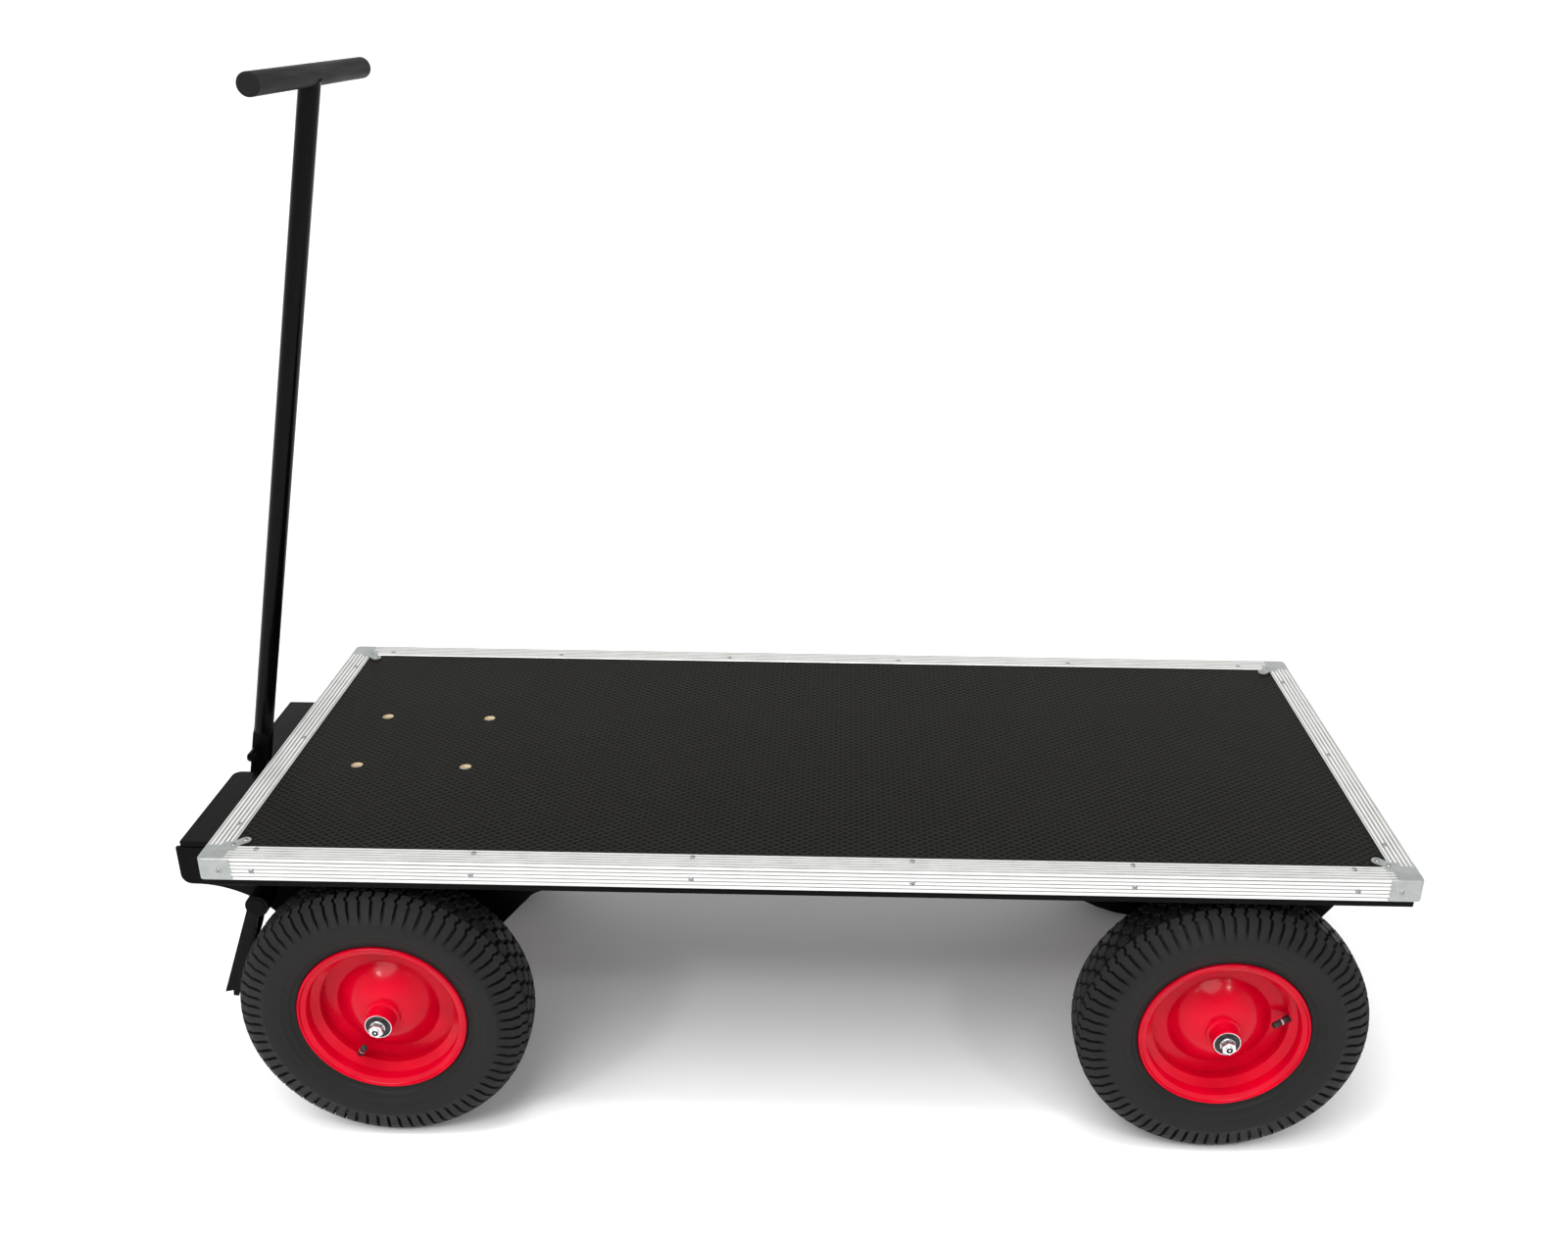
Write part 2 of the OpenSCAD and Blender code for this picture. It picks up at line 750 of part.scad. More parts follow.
side_b = -foot_z / sin(45);
outer_half = concat(
    [[bead_half - 8, bead_r], [bead_half - 1.5, bead_r], [bead_half, bead_r + 3], [bead_half, flange_r]],
    [for (t = [45 : -7.5 : 7.5]) side_wall(tyre_w / 2, side_b, t)],
    [for (t = [0 : 7.5 : 90]) swell(tyre_w / 2, wheel_r - mid_r, t)]);
inner_half = concat(
    [[bead_half - 8, bead_r], [bead_half - 7, flange_r]],
    [for (t = [40 : -10 : 10]) side_wall(tyre_w / 2 - wall_t, side_b - 4, t)],
    [for (t = [0 : 10 : 90]) swell(tyre_w / 2 - wall_t, wheel_r - mid_r - crown_t, t)]);

module spun(pts) {
    rotate_extrude($fn = wheel_seg) polygon([for (p = pts) [p[1], p[0]]]);
}

module tyre(axle_x, side) {
    color("#202022") at_wheel(axle_x, side) difference() {
        spun(concat(outer_half, mirrored(outer_half)));
        spun(concat(inner_half, mirrored(inner_half)));
    }
}

tube_top = wheel_r - crown_t - 2;
tube_low = flange_r - 7;
tube_a = tyre_w / 2 - wall_t - 5.5;
tube_b = (tube_top - tube_low) / 2;
tube_wall = 2.5;
stem_r = 4.4;
stem_l = 48;
stem_start = tube_low + 3;
stem_slope = 30;

function tube_ring(a, b) =
    [for (t = [0 : 12 : 348]) [a * cos(t), (tube_top + tube_low) / 2 + b * sin(t)]];

// The valve leans out of the rim's well towards the hub
module valve_place(turn) {
    rotate(turn) translate([stem_start, 0, 2]) rotate([0, -90 + stem_slope, 0]) children();
}

module inner_tube(axle_x, side, turn) {
    color("#161618") at_wheel(axle_x, side) {
        difference() {
            spun(tube_ring(tube_a, tube_b));
            spun(tube_ring(tube_a - tube_wall, tube_b - tube_wall));
        }
        valve_place(turn) cylinder(r = stem_r, h = stem_l);
    }
}

// Half of the rim's section, [across, radius], from the well out to the lip
rim_t = 2.2;
well_r = flange_r - 20;
rim_strip = [[0, well_r], [13, well_r], [rim_half - 18, seat_r - 0.8], [bead_half - 0.6, seat_r],
    [bead_half + 0.2, seat_r + 2], [bead_half + 0.4, flange_r - 1.6], [rim_half - 1.6, flange_r],
    [rim_half, flange_r - 0.2], [rim_half + 0.8, flange_r - 1.6], [rim_half + 0.6, flange_r - 2.8],
    [rim_half - 1.6, flange_r - 3.4], [rim_half - 2.4, flange_r - 7],
    [bead_half, seat_r - rim_t], [rim_half - 17, seat_r - rim_t - 0.8],
    [14, well_r - rim_t], [0, well_r - rim_t]];
dish_r = 66;
dome_w = 28;
dish_t = 2.5;
collar_r = hub_d / 2 + 3.5;

// Half of the dished disc: a flat ring by the well and a dome up to the hub
dome = [for (i = [0 : 8]) let (f = i / 8)
    [dome_w * (1 - pow(f, 2)) + dish_t, hub_d / 2 - 1 + (dish_r - hub_d / 2 + 1) * f]];
dome_back = [for (i = [8 : -1 : 0]) let (f = i / 8)
    [dome_w * (1 - pow(f, 2)), hub_d / 2 - 1 + (dish_r - 3 - hub_d / 2 + 1) * f]];
disc_half = concat([[dish_t, well_r - rim_t]], mirror_order(dome), mirror_order(dome_back),
    [[0, well_r - rim_t]]);
function mirror_order(pts) = [for (i = [len(pts) - 1 : -1 : 0]) pts[i]];

module rim(axle_x, side, turn) {
    color(red) at_wheel(axle_x, side) difference() {
        union() {
            spun(concat(rim_strip, mirrored(rim_strip)));
            for (face = [0, 1]) mirror([0, 0, face]) spun(disc_half);
            cylinder(r = hub_d / 2, h = hub_l, center = true);
            cylinder(r = collar_r, h = 2 * (dome_w + 6), center = true);
        }
        cylinder(r = bearing_r - 3.5, h = hub_l + 2 * cut, center = true);
        for (face = [0, 1]) mirror([0, 0, face])
            translate([0, 0, hub_l / 2 - bearing_w - 2 * bearing_inset]) cylinder(r = bearing_r, h = hub_l);
        valve_place(turn) translate([0, 0, -2]) cylinder(r = stem_r + 1.2, h = 26);
    }
}

module bearings(axle_x, side) {
    color("#8a8c8e") at_wheel(axle_x, side) for (face = [0, 1]) mirror([0, 0, face])
        translate([0, 0, hub_l / 2 - bearing_w - bearing_inset]) rotate_extrude() difference() {
            translate([axle_r + run_fit, 0]) square([bearing_r - slip_fit - axle_r - run_fit, bearing_w]);
            translate([axle_r + 3, bearing_w - 0.6]) square([bearing_r - axle_r - 6, cut]);
        }
}

front_valve = -120;
rear_valve = 7;

module tyre_front_left() { tyre(front_x, LEFT); }
module tyre_front_right() { tyre(front_x, RIGHT); }
module tyre_rear_left() { tyre(rear_x, LEFT); }
module tyre_rear_right() { tyre(rear_x, RIGHT); }
module inner_tube_front_left() { inner_tube(front_x, LEFT, front_valve); }
module inner_tube_front_right() { inner_tube(front_x, RIGHT, 180 + front_valve); }
module inner_tube_rear_left() { inner_tube(rear_x, LEFT, rear_valve); }
module inner_tube_rear_right() { inner_tube(rear_x, RIGHT, 180 + rear_valve); }
module rim_front_left() { rim(front_x, LEFT, front_valve); }
module rim_front_right() { rim(front_x, RIGHT, 180 + front_valve); }
module rim_rear_left() { rim(rear_x, LEFT, rear_valve); }
module rim_rear_right() { rim(rear_x, RIGHT, 180 + rear_valve); }
module bearings_front_left() { bearings(front_x, LEFT); }
module bearings_front_right() { bearings(front_x, RIGHT); }
module bearings_rear_left() { bearings(rear_x, LEFT); }
module bearings_rear_right() { bearings(rear_x, RIGHT); }

deck_board();
edging_sides();
edging_ends();
corner_braces();
edging_rivets();
side_rail_left();
side_rail_right();
end_rails();
cross_rails();
turntable_plate();
upper_race();
turntable_bolts();
king_pin();
rear_bogie_plate();
rear_cheek_left();
rear_cheek_right();
rear_bogie_bolts();
rear_axle();
rear_axle_tube();
rear_wheel_nuts();
front_bogie_plate();
front_cheek_left();
front_cheek_right();
lower_race();
turntable_balls();
king_pin_collar();
front_axle();
front_axle_tube();
front_wheel_nuts();
drawbar_lugs();
drawbar_pivot_pin();
brake_return_spring();
drawbar_foot();
drawbar_tube();
handle_tube();
handle_plugs();
drawbar_cross_pin();
brake_shaft();
brake_arm_left();
brake_arm_right();
brake_finger();
tyre_front_left();
tyre_front_right();
tyre_rear_left();
tyre_rear_right();
inner_tube_front_left();
inner_tube_front_right();
inner_tube_rear_left();
inner_tube_rear_right();
rim_front_left();
rim_front_right();
rim_rear_left();
rim_rear_right();
bearings_front_left();
bearings_front_right();
bearings_rear_left();
bearings_rear_right();
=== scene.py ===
import math

import bmesh
import bpy
from mathutils import Matrix, Vector


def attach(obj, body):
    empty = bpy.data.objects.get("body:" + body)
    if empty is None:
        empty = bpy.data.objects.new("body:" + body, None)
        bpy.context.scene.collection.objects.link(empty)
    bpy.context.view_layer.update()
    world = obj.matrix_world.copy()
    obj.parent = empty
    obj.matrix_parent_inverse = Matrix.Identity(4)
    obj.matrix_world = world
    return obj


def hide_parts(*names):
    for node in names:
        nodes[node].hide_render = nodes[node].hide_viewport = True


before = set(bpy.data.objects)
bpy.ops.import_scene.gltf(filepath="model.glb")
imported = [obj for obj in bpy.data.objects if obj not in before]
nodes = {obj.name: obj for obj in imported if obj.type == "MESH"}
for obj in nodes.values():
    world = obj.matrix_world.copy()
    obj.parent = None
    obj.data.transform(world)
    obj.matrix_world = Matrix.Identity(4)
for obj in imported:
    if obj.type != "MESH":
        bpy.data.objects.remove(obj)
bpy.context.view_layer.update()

# ---------------------------------------------------------------------------
# Deck board. One sheet of birch plywood pressed between two dark phenolic
# films. The top film carries a fine raised wire mesh, so boots and loads
# don't slip. Bare veneer shows only inside the four bolt counterbores.
DECK_X = 0.0405
DECK_L, DECK_W = 1.500, 0.650
BOARD_TOP, BOARD_UNDER = 0.436, 0.421


def new_finish(name, color, rough, metal=0.0, specular=0.5):
    finish = bpy.data.materials.new(name)
    finish.use_nodes = True
    tree = finish.node_tree
    shader = tree.nodes["Principled BSDF"]
    shader.inputs["Base Color"].default_value = (*color, 1)
    shader.inputs["Roughness"].default_value = rough
    shader.inputs["Metallic"].default_value = metal
    shader.inputs["Specular IOR Level"].default_value = specular
    return finish, tree, shader


def node_in(tree, kind, **settings):
    node = tree.nodes.new(kind)
    for key, value in settings.items():
        if key in node.inputs.keys():
            node.inputs[key].default_value = value
        else:
            setattr(node, key, value)
    return node


def place_on_object(tree, scale=(1, 1, 1), turn=(0, 0, 0)):
    place = tree.nodes.new("ShaderNodeTexCoord")
    mapping = tree.nodes.new("ShaderNodeMapping")
    mapping.inputs["Scale"].default_value = scale
    mapping.inputs["Rotation"].default_value = turn
    tree.links.new(place.outputs["Object"], mapping.inputs["Vector"])
    return mapping.outputs["Vector"]


def ramp(tree, value, stops):
    node = tree.nodes.new("ShaderNodeValToRGB")
    while len(node.color_ramp.elements) < len(stops):
        node.color_ramp.elements.new(0.5)
    for element, (position, color) in zip(node.color_ramp.elements, stops):
        element.position = position
        element.color = (*color, 1) if len(color) == 3 else (color[0],) * 3 + (1,)
    tree.links.new(value, node.inputs["Fac"])
    return node.outputs["Color"]


def use_finish(piece, finish):
    piece.data.materials.clear()
    piece.data.materials.append(finish)


film, tree, shader = new_finish("deck film and veneer", (0.003, 0.0029, 0.0022), 0.5, specular=0.05)
mesh_place = place_on_object(tree, (98, 138, 1), (0, 0, math.pi / 4))
wires = node_in(tree, "ShaderNodeTexVoronoi", voronoi_dimensions="2D", feature="DISTANCE_TO_EDGE",
                Scale=1.0, Randomness=0.0)
tree.links.new(mesh_place, wires.inputs["Vector"])
wire_height = ramp(tree, wires.outputs["Distance"], [(0.06, (1,)), (0.24, (0,))])
scuffs = node_in(tree, "ShaderNodeTexNoise", Scale=9.0, Detail=6.0, Roughness=0.62)
tree.links.new(place_on_object(tree), scuffs.inputs["Vector"])
film_tone = ramp(tree, scuffs.outputs["Fac"], [(0.3, (0.0016, 0.0015, 0.0011)), (0.72, (0.0036, 0.0034, 0.0026))])
# Painted highlight: the raised wires are coloured lighter than the film between them, standing in for the light they
# catch
film_and_painted_wire_highlight = node_in(tree, "ShaderNodeMix", data_type="RGBA", blend_type="MIX")
tree.links.new(wire_height, film_and_painted_wire_highlight.inputs["Factor"])
tree.links.new(film_tone, film_and_painted_wire_highlight.inputs["A"])
film_and_painted_wire_highlight.inputs["B"].default_value = (0.0115, 0.0110, 0.0088, 1)
plies = node_in(tree, "ShaderNodeTexWave", wave_type="BANDS", bands_direction="Z", Scale=105.0, Distortion=0.6)
tree.links.new(place_on_object(tree), plies.inputs["Vector"])
veneer_tone = ramp(tree, plies.outputs["Fac"], [(0.2, (0.60, 0.46, 0.28)), (0.7, (0.82, 0.70, 0.50))])
height_place = tree.nodes.new("ShaderNodeSeparateXYZ")
tree.links.new(place_on_object(tree), height_place.inputs["Vector"])
on_top = node_in(tree, "ShaderNodeMath", operation="GREATER_THAN")
tree.links.new(height_place.outputs["Z"], on_top.inputs[0])
on_top.inputs[1].default_value = BOARD_TOP - 0.0006
under = node_in(tree, "ShaderNodeMath", operation="LESS_THAN")
tree.links.new(height_place.outputs["Z"], under.inputs[0])
under.inputs[1].default_value = BOARD_UNDER + 0.0004
filmed = node_in(tree, "ShaderNodeMath", operation="MAXIMUM")
tree.links.new(on_top.outputs[0], filmed.inputs[0])
tree.links.new(under.outputs[0], filmed.inputs[1])
film_or_veneer = node_in(tree, "ShaderNodeMix", data_type="RGBA")
tree.links.new(filmed.outputs[0], film_or_veneer.inputs["Factor"])
tree.links.new(veneer_tone, film_or_veneer.inputs["A"])
tree.links.new(film_and_painted_wire_highlight.outputs["Result"], film_or_veneer.inputs["B"])
tree.links.new(film_or_veneer.outputs["Result"], shader.inputs["Base Color"])
mesh_bump = node_in(tree, "ShaderNodeBump", Strength=0.8, Distance=0.0009)
tree.links.new(wire_height, mesh_bump.inputs["Height"])
tree.links.new(mesh_bump.outputs["Normal"], shader.inputs["Normal"])
use_finish(nodes["deck_board"], film)

# ---------------------------------------------------------------------------
# Aluminium edging. Extruded angle with a fluted face on both legs, cut to
# length and riveted round the deck. Each end runs a little way under the
# corner brace.
EDGE_TOP, EDGE_SIDE, EDGE_T = 0.032, 0.030, 0.002
DECK_TOP = 0.438
RIB_DEEP = 0.0013


def fluted_section(ribs_top=5, ribs_side=5):
    """The angle's section as (in from the outer face, up from the top face)."""
    line = []
    step = (EDGE_TOP - 0.004) / ribs_top
    for i in range(ribs_top, 0, -1):
        high, low = 0.004 + i * step, 0.004 + (i - 1) * step
        line += [(high - 0.0010, -RIB_DEEP), (high - 0.0016, -0.0002), (high - 0.0024, 0.0),
                 (low + 0.0012, 0.0), (low + 0.0004, -0.0002), (low - 0.0002, -RIB_DEEP)]
    line += [(0.0033, -RIB_DEEP), (0.0029, -0.0002), (0.0016, 0.0), (0.0006, -0.0004),
             (0.0, -0.0014), (0.0, -0.0030), (0.0002, -0.0034), (RIB_DEEP, -0.0038)]
    step = (EDGE_SIDE - 0.004) / ribs_side
    for i in range(ribs_side):
        high, low = -0.0045 - i * step, -0.0045 - (i + 1) * step + 0.0005
        line += [(RIB_DEEP, high), (0.0002, high - 0.0004), (0.0, high - 0.0012), (0.0, low + 0.0008),
                 (0.0002, low + 0.0002), (RIB_DEEP, low - 0.0003)]
    line[-1] = (0.0003, -EDGE_SIDE)
    return line + [(EDGE_T, -EDGE_SIDE), (EDGE_T, -EDGE_T), (EDGE_TOP, -EDGE_T)]


def edging_length(length, lap=0.003):
    """One length along X with its outer face on y = 0, its top face on z = 0 and the deck towards +Y."""
    bm = bmesh.new()
    corners = [bm.verts.new((-length / 2, y, z)) for y, z in fluted_section()]
    section = bm.faces.new(corners)
    grown = bmesh.ops.extrude_face_region(bm, geom=[section])
    far = [v for v in grown["geom"] if isinstance(v, bmesh.types.BMVert)]
    bmesh.ops.translate(bm, verts=far, vec=(length, 0, 0))
    for vert in bm.verts:
        inner = max(vert.co.y - 0.022, 0)
        vert.co.x += math.copysign(lap - 0.9 * inner, vert.co.x)
    bmesh.ops.recalc_face_normals(bm, faces=bm.faces)
    for wall in bm.faces:
        spot = wall.calc_center_median()
        grooved = max(-spot.z, 0) if spot.y > 0.003 else spot.y
        # Walls at the bottom of the flutes take slot 1, which carries the painted shade of the grooves
        if len(wall.verts) == 4 and 0.0004 < grooved < RIB_DEEP + 0.0001:
            wall.material_index = 1
    return bm


def piece_from(bm, name, finish, smooth=True):
    mesh = bpy.data.meshes.new(name)
    bm.to_mesh(mesh)
    bm.free()
    piece = bpy.data.objects.new(name, mesh)
    bpy.context.scene.collection.objects.link(piece)
    mesh.materials.append(finish)
    for polygon in mesh.polygons:
        polygon.use_smooth = smooth
    if smooth:
        mesh.set_sharp_from_angle(angle=math.radians(38))
    return piece


def join_into(bm, other, place):
    """Adds a copy of another bmesh, put in place by a matrix."""
    mesh = bpy.data.meshes.new("part")
    other.to_mesh(mesh)
    mesh.transform(place)
    bm.from_mesh(mesh)
    bpy.data.meshes.remove(mesh)


edging_metal, tree, shader = new_finish("fluted aluminium", (0.72, 0.72, 0.70), 0.36, metal=0.45)
drawn = node_in(tree, "ShaderNodeTexNoise", Scale=1.0, Detail=5.0, Roughness=0.7)
tree.links.new(place_on_object(tree, (26, 26, 60)), drawn.inputs["Vector"])
tone = ramp(tree, drawn.outputs["Fac"], [(0.25, (0.66, 0.66, 0.64)), (0.75, (0.76, 0.76, 0.745))])
tree.links.new(tone, shader.inputs["Base Color"])
dull = ramp(tree, drawn.outputs["Fac"], [(0.2, (0.30,)), (0.8, (0.46,))])
tree.links.new(dull, shader.inputs["Roughness"])

# Painted shade: the flute bottoms take a darker finish that stands in for the shadow inside the grooves
flute_painted_shade, tree, shader = new_finish("painted shade in the flutes", (0.28, 0.28, 0.27), 0.55, metal=0.3)
flute_shade_mottle = node_in(tree, "ShaderNodeTexNoise", Scale=30.0, Detail=6.0)
tree.links.new(place_on_object(tree), flute_shade_mottle.inputs["Vector"])
tree.links.new(ramp(tree, flute_shade_mottle.outputs["Fac"], [(0.3, (0.20, 0.20, 0.19)), (0.7, (0.36, 0.36, 0.35))]),
               shader.inputs["Base Color"])

BRACE_LEG = 0.036
for name, length, offset, turns in (("edging_sides", DECK_L, DECK_W / 2, (0, 180)),
                                    ("edging_ends", DECK_W, DECK_L / 2, (-90, 90))):
    bm = bmesh.new()
    one = edging_length(length - 2 * BRACE_LEG)
    for turn in turns:
        join_into(bm, one, Matrix.Translation((DECK_X, 0, DECK_TOP)) @ Matrix.Rotation(math.radians(turn), 4, "Z")
                  @ Matrix.Translation((0, -offset, 0)))
    one.free()
    piece = piece_from(bm, "fluted_" + name, edging_metal)
    # The second slot holds the painted shade for the flute bottoms
    piece.data.materials.append(flute_painted_shade)
    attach(piece, "deck")
    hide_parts(name)

# ---------------------------------------------------------------------------
# Corner braces. Pressed zinc-plated steel caps over the deck's corners, with
# a round-ended tab that lies on the film and takes two rivets.
brace_zinc, tree, shader = new_finish("matt zinc plate", (0.34, 0.36, 0.35), 0.46, metal=0.55)
bloom = node_in(tree, "ShaderNodeTexNoise", Scale=55.0, Detail=7.0, Roughness=0.7)
tree.links.new(place_on_object(tree), bloom.inputs["Vector"])
tree.links.new(ramp(tree, bloom.outputs["Fac"], [(0.3, (0.29, 0.31, 0.30)), (0.7, (0.40, 0.42, 0.41))]),
               shader.inputs["Base Color"])
tree.links.new(ramp(tree, bloom.outputs["Fac"], [(0.25, (0.36,)), (0.75, (0.54,))]), shader.inputs["Roughness"])

CAP_LEG, CAP_T = 0.0415, 0.0016
TAB_RIVETS = (0.034, 0.045)


def corner_cap():
    """The cap for the corner at the origin, with the deck towards +X and +Y and its top on z = 0."""
    bm = bmesh.new()
    bmesh.ops.create_cube(bm, size=1, matrix=Matrix.Translation((CAP_LEG / 2, CAP_LEG / 2, -0.0152))
                          @ Matrix.Diagonal((CAP_LEG, CAP_LEG, 0.0296, 1)))
    open_sides = [f for f in bm.faces if f.normal.x > 0.5 or f.normal.y > 0.5 or f.normal.z < -0.5]
    bmesh.ops.delete(bm, geom=open_sides, context="FACES")
    corner = [e for e in bm.edges if all(v.co.x < 1e-6 and v.co.y < 1e-6 for v in e.verts)]
    bmesh.ops.bevel(bm, geom=corner, offset=0.007, segments=6, profile=0.5, material=-1, affect="EDGES")
    rim = [e for e in bm.edges if all(v.co.z > -0.001 for v in e.verts) and len(e.link_faces) == 2]
    bmesh.ops.bevel(bm, geom=rim, offset=0.0022, segments=4, profile=0.5, material=-1, affect="EDGES")
    ends = [e for e in bm.edges if len(e.link_faces) == 1 and abs(e.verts[0].co.z - e.verts[1].co.z) > 0.015
            and max(e.verts[0].co.x, e.verts[0].co.y) > CAP_LEG - 1e-5]
    split = bmesh.ops.subdivide_edges(bm, edges=ends, cuts=9)
    for vert in {v for v in split["geom_inner"] if isinstance(v, bmesh.types.BMVert)}:
        wave = 0.0028 * abs(math.sin(math.tau * vert.co.z / 0.0185)) - 0.0014
        if vert.co.x > vert.co.y:
            vert.co.x -= wave
        else:
            vert.co.y -= wave
    bmesh.ops.recalc_face_normals(bm, faces=bm.faces)
    if sum(f.normal.z * f.calc_area() for f in bm.faces) < 0:
        bmesh.ops.reverse_faces(bm, faces=bm.faces)
    bmesh.ops.solidify(bm, geom=bm.faces, thickness=CAP_T)
    tab = []
    for sign in (-1, 1):
        edge = [(0.016, 0.0160), (0.040, 0.0220), (0.0408, 0.0262), (0.0412, 0.0300), (0.0438, 0.0345)]
        tab += edge if sign < 0 else [(y, x) for x, y in reversed(edge)]
        if sign < 0:
            reach = TAB_RIVETS[1]
            for i in range(13):
                angle = math.radians(-45 + 180 * i / 12)
                tab.append((reach + 0.0072 * math.cos(angle), reach + 0.0072 * math.sin(angle)))
    leaf = bmesh.new()
    face = leaf.faces.new([leaf.verts.new((x, y, 0)) for x, y in tab])
    if face.normal.z < 0:
        bmesh.ops.reverse_faces(leaf, faces=[face])
    bmesh.ops.inset_region(leaf, faces=[face], thickness=0.0012, depth=-0.0004)
    grown = bmesh.ops.extrude_face_region(leaf, geom=list(leaf.faces))
    low = [v for v in grown["geom"] if isinstance(v, bmesh.types.BMVert)]
    bmesh.ops.translate(leaf, verts=low, vec=(0, 0, -0.0014))
    bmesh.ops.recalc_face_normals(leaf, faces=leaf.faces)
    join_into(bm, leaf, Matrix.Identity(4))
    leaf.free()
    return bm


bm = bmesh.new()
cap = corner_cap()
for end in (-1, 1):
    for side in (-1, 1):
        place = Matrix.Translation((DECK_X + end * DECK_L / 2, side * DECK_W / 2, DECK_TOP + 0.0003))
        quarter = {(-1, -1): 0, (1, -1): 90, (1, 1): 180, (-1, 1): 270}[(end, side)]
        join_into(bm, cap, place @ Matrix.Rotation(math.radians(quarter), 4, "Z")
                  @ Matrix.Translation((-0.0004, -0.0004, 0)))
cap.free()
piece = piece_from(bm, "pressed_corner_caps", brace_zinc)
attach(piece, "deck")
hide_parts("corner_braces")

# ---------------------------------------------------------------------------
# Rivets. Domed pop rivets, each with the small pit its mandrel leaves. They
# hold the edging's two legs to the board and the caps to the corners.
bright_zinc, tree, shader = new_finish("bright zinc", (0.68, 0.69, 0.70), 0.27, metal=0.95)
spots = node_in(tree, "ShaderNodeTexNoise", Scale=160.0, Detail=4.0)
tree.links.new(place_on_object(tree), spots.inputs["Vector"])
tree.links.new(ramp(tree, spots.outputs["Fac"], [(0.3, (0.2,)), (0.75, (0.38,))]), shader.inputs["Roughness"])


def turned(bm, outline, steps, axis="Z", closed=True):
    """Spins a closed outline of (radius, along) a full turn about an axis."""
    spots_on = []
    for radius, along in outline:
        spots_on.append(bm.verts.new({"Z": (radius, 0, along), "Y": (radius, along, 0)}[axis]))
    edges = [bm.edges.new((spots_on[i], spots_on[i + 1])) for i in range(len(spots_on) - 1)]
    if closed:
        edges.append(bm.edges.new((spots_on[-1], spots_on[0])))
    made = bmesh.ops.spin(bm, geom=spots_on + edges, cent=(0, 0, 0), dvec=(0, 0, 0),
                          axis={"Z": (0, 0, 1), "Y": (0, 1, 0)}[axis], angle=math.tau, steps=steps, use_merge=True)
    bmesh.ops.remove_doubles(bm, verts=bm.verts, dist=1e-6)
    return made


RIVET_R = 0.0034
RIVET_IN, RIVET_DOWN, CAP_RIVET = 0.024, 0.017, 0.026
SIDE_RIVETS, SIDE_RIVET_FIRST, SIDE_RIVET_PITCH, END_RIVET_Y = 6, 0.066, 0.271, 0.242
rivet = bmesh.new()
turned(rivet, [(0, -0.0008), (RIVET_R, -0.0008), (RIVET_R, 0.0003), (0.0029, 0.0010), (0.0018, 0.00145),
               (0.0012, 0.0015), (0.0010, 0.0006), (0, 0.0006)], 14, closed=False)
bmesh.ops.recalc_face_normals(rivet, faces=rivet.faces)
bm = bmesh.new()
for side in (-1, 1):
    outward = Matrix.Rotation(math.radians(90), 4, "X") if side < 0 else Matrix.Rotation(math.radians(-90), 4, "X")
    for i in range(SIDE_RIVETS):
        x = DECK_X - DECK_L / 2 + SIDE_RIVET_FIRST + i * SIDE_RIVET_PITCH
        join_into(bm, rivet, Matrix.Translation((x, side * (DECK_W / 2 - RIVET_IN), DECK_TOP)))
        join_into(bm, rivet, Matrix.Translation((x, side * DECK_W / 2, DECK_TOP - RIVET_DOWN)) @ outward)
for end in (-1, 1):
    outward = Matrix.Rotation(math.radians(90 * end), 4, "Y")
    for y in (-END_RIVET_Y, 0, END_RIVET_Y):
        x = DECK_X + end * DECK_L / 2
        join_into(bm, rivet, Matrix.Translation((x - end * RIVET_IN, y, DECK_TOP)))
        join_into(bm, rivet, Matrix.Translation((x, y, DECK_TOP - RIVET_DOWN)) @ outward)
    for side in (-1, 1):
        corner = Vector((DECK_X + end * DECK_L / 2, side * DECK_W / 2, DECK_TOP))
        for inset in TAB_RIVETS:
            join_into(bm, rivet, Matrix.Translation(corner + Vector((-end * inset, -side * inset, 0.0003))))
        join_into(bm, rivet, Matrix.Translation(corner + Vector((0, -side * CAP_RIVET, -RIVET_DOWN))) @ outward)
        sideways = Matrix.Rotation(math.radians(-90 * side), 4, "X")
        join_into(bm, rivet, Matrix.Translation(corner + Vector((-end * CAP_RIVET, 0, -RIVET_DOWN))) @ sideways)
rivet.free()
rivet_steel, tree, shader = new_finish("rivet steel", (0.30, 0.31, 0.32), 0.32, metal=0.8)
weathered = node_in(tree, "ShaderNodeTexNoise", Scale=400.0, Detail=3.0)
tree.links.new(place_on_object(tree), weathered.inputs["Vector"])
tree.links.new(ramp(tree, weathered.outputs["Fac"], [(0.3, (0.20, 0.21, 0.22)), (0.7, (0.40, 0.41, 0.42))]),
               shader.inputs["Base Color"])
piece = piece_from(bm, "pop_rivets", rivet_steel)
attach(piece, "deck")
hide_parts("edging_rivets")

# ---------------------------------------------------------------------------
# Frame. Welded steel box tube under the board: two side rails, two end rails
# and four cross rails, all powder coated satin black.
black_coat, tree, shader = new_finish("black powder coat", (0.0015, 0.0015, 0.0018), 0.34, specular=0.06)
peel = node_in(tree, "ShaderNodeTexNoise", Scale=420.0, Detail=3.0)
tree.links.new(place_on_object(tree), peel.inputs["Vector"])
peel_bump = node_in(tree, "ShaderNodeBump", Strength=0.12, Distance=0.0004)
tree.links.new(peel.outputs["Fac"], peel_bump.inputs["Height"])
tree.links.new(peel_bump.outputs["Normal"], shader.inputs["Normal"])
haze = node_in(tree, "ShaderNodeTexNoise", Scale=14.0, Detail=5.0)
tree.links.new(place_on_object(tree), haze.inputs["Vector"])
tree.links.new(ramp(tree, haze.outputs["Fac"], [(0.3, (0.30,)), (0.75, (0.46,))]), shader.inputs["Roughness"])


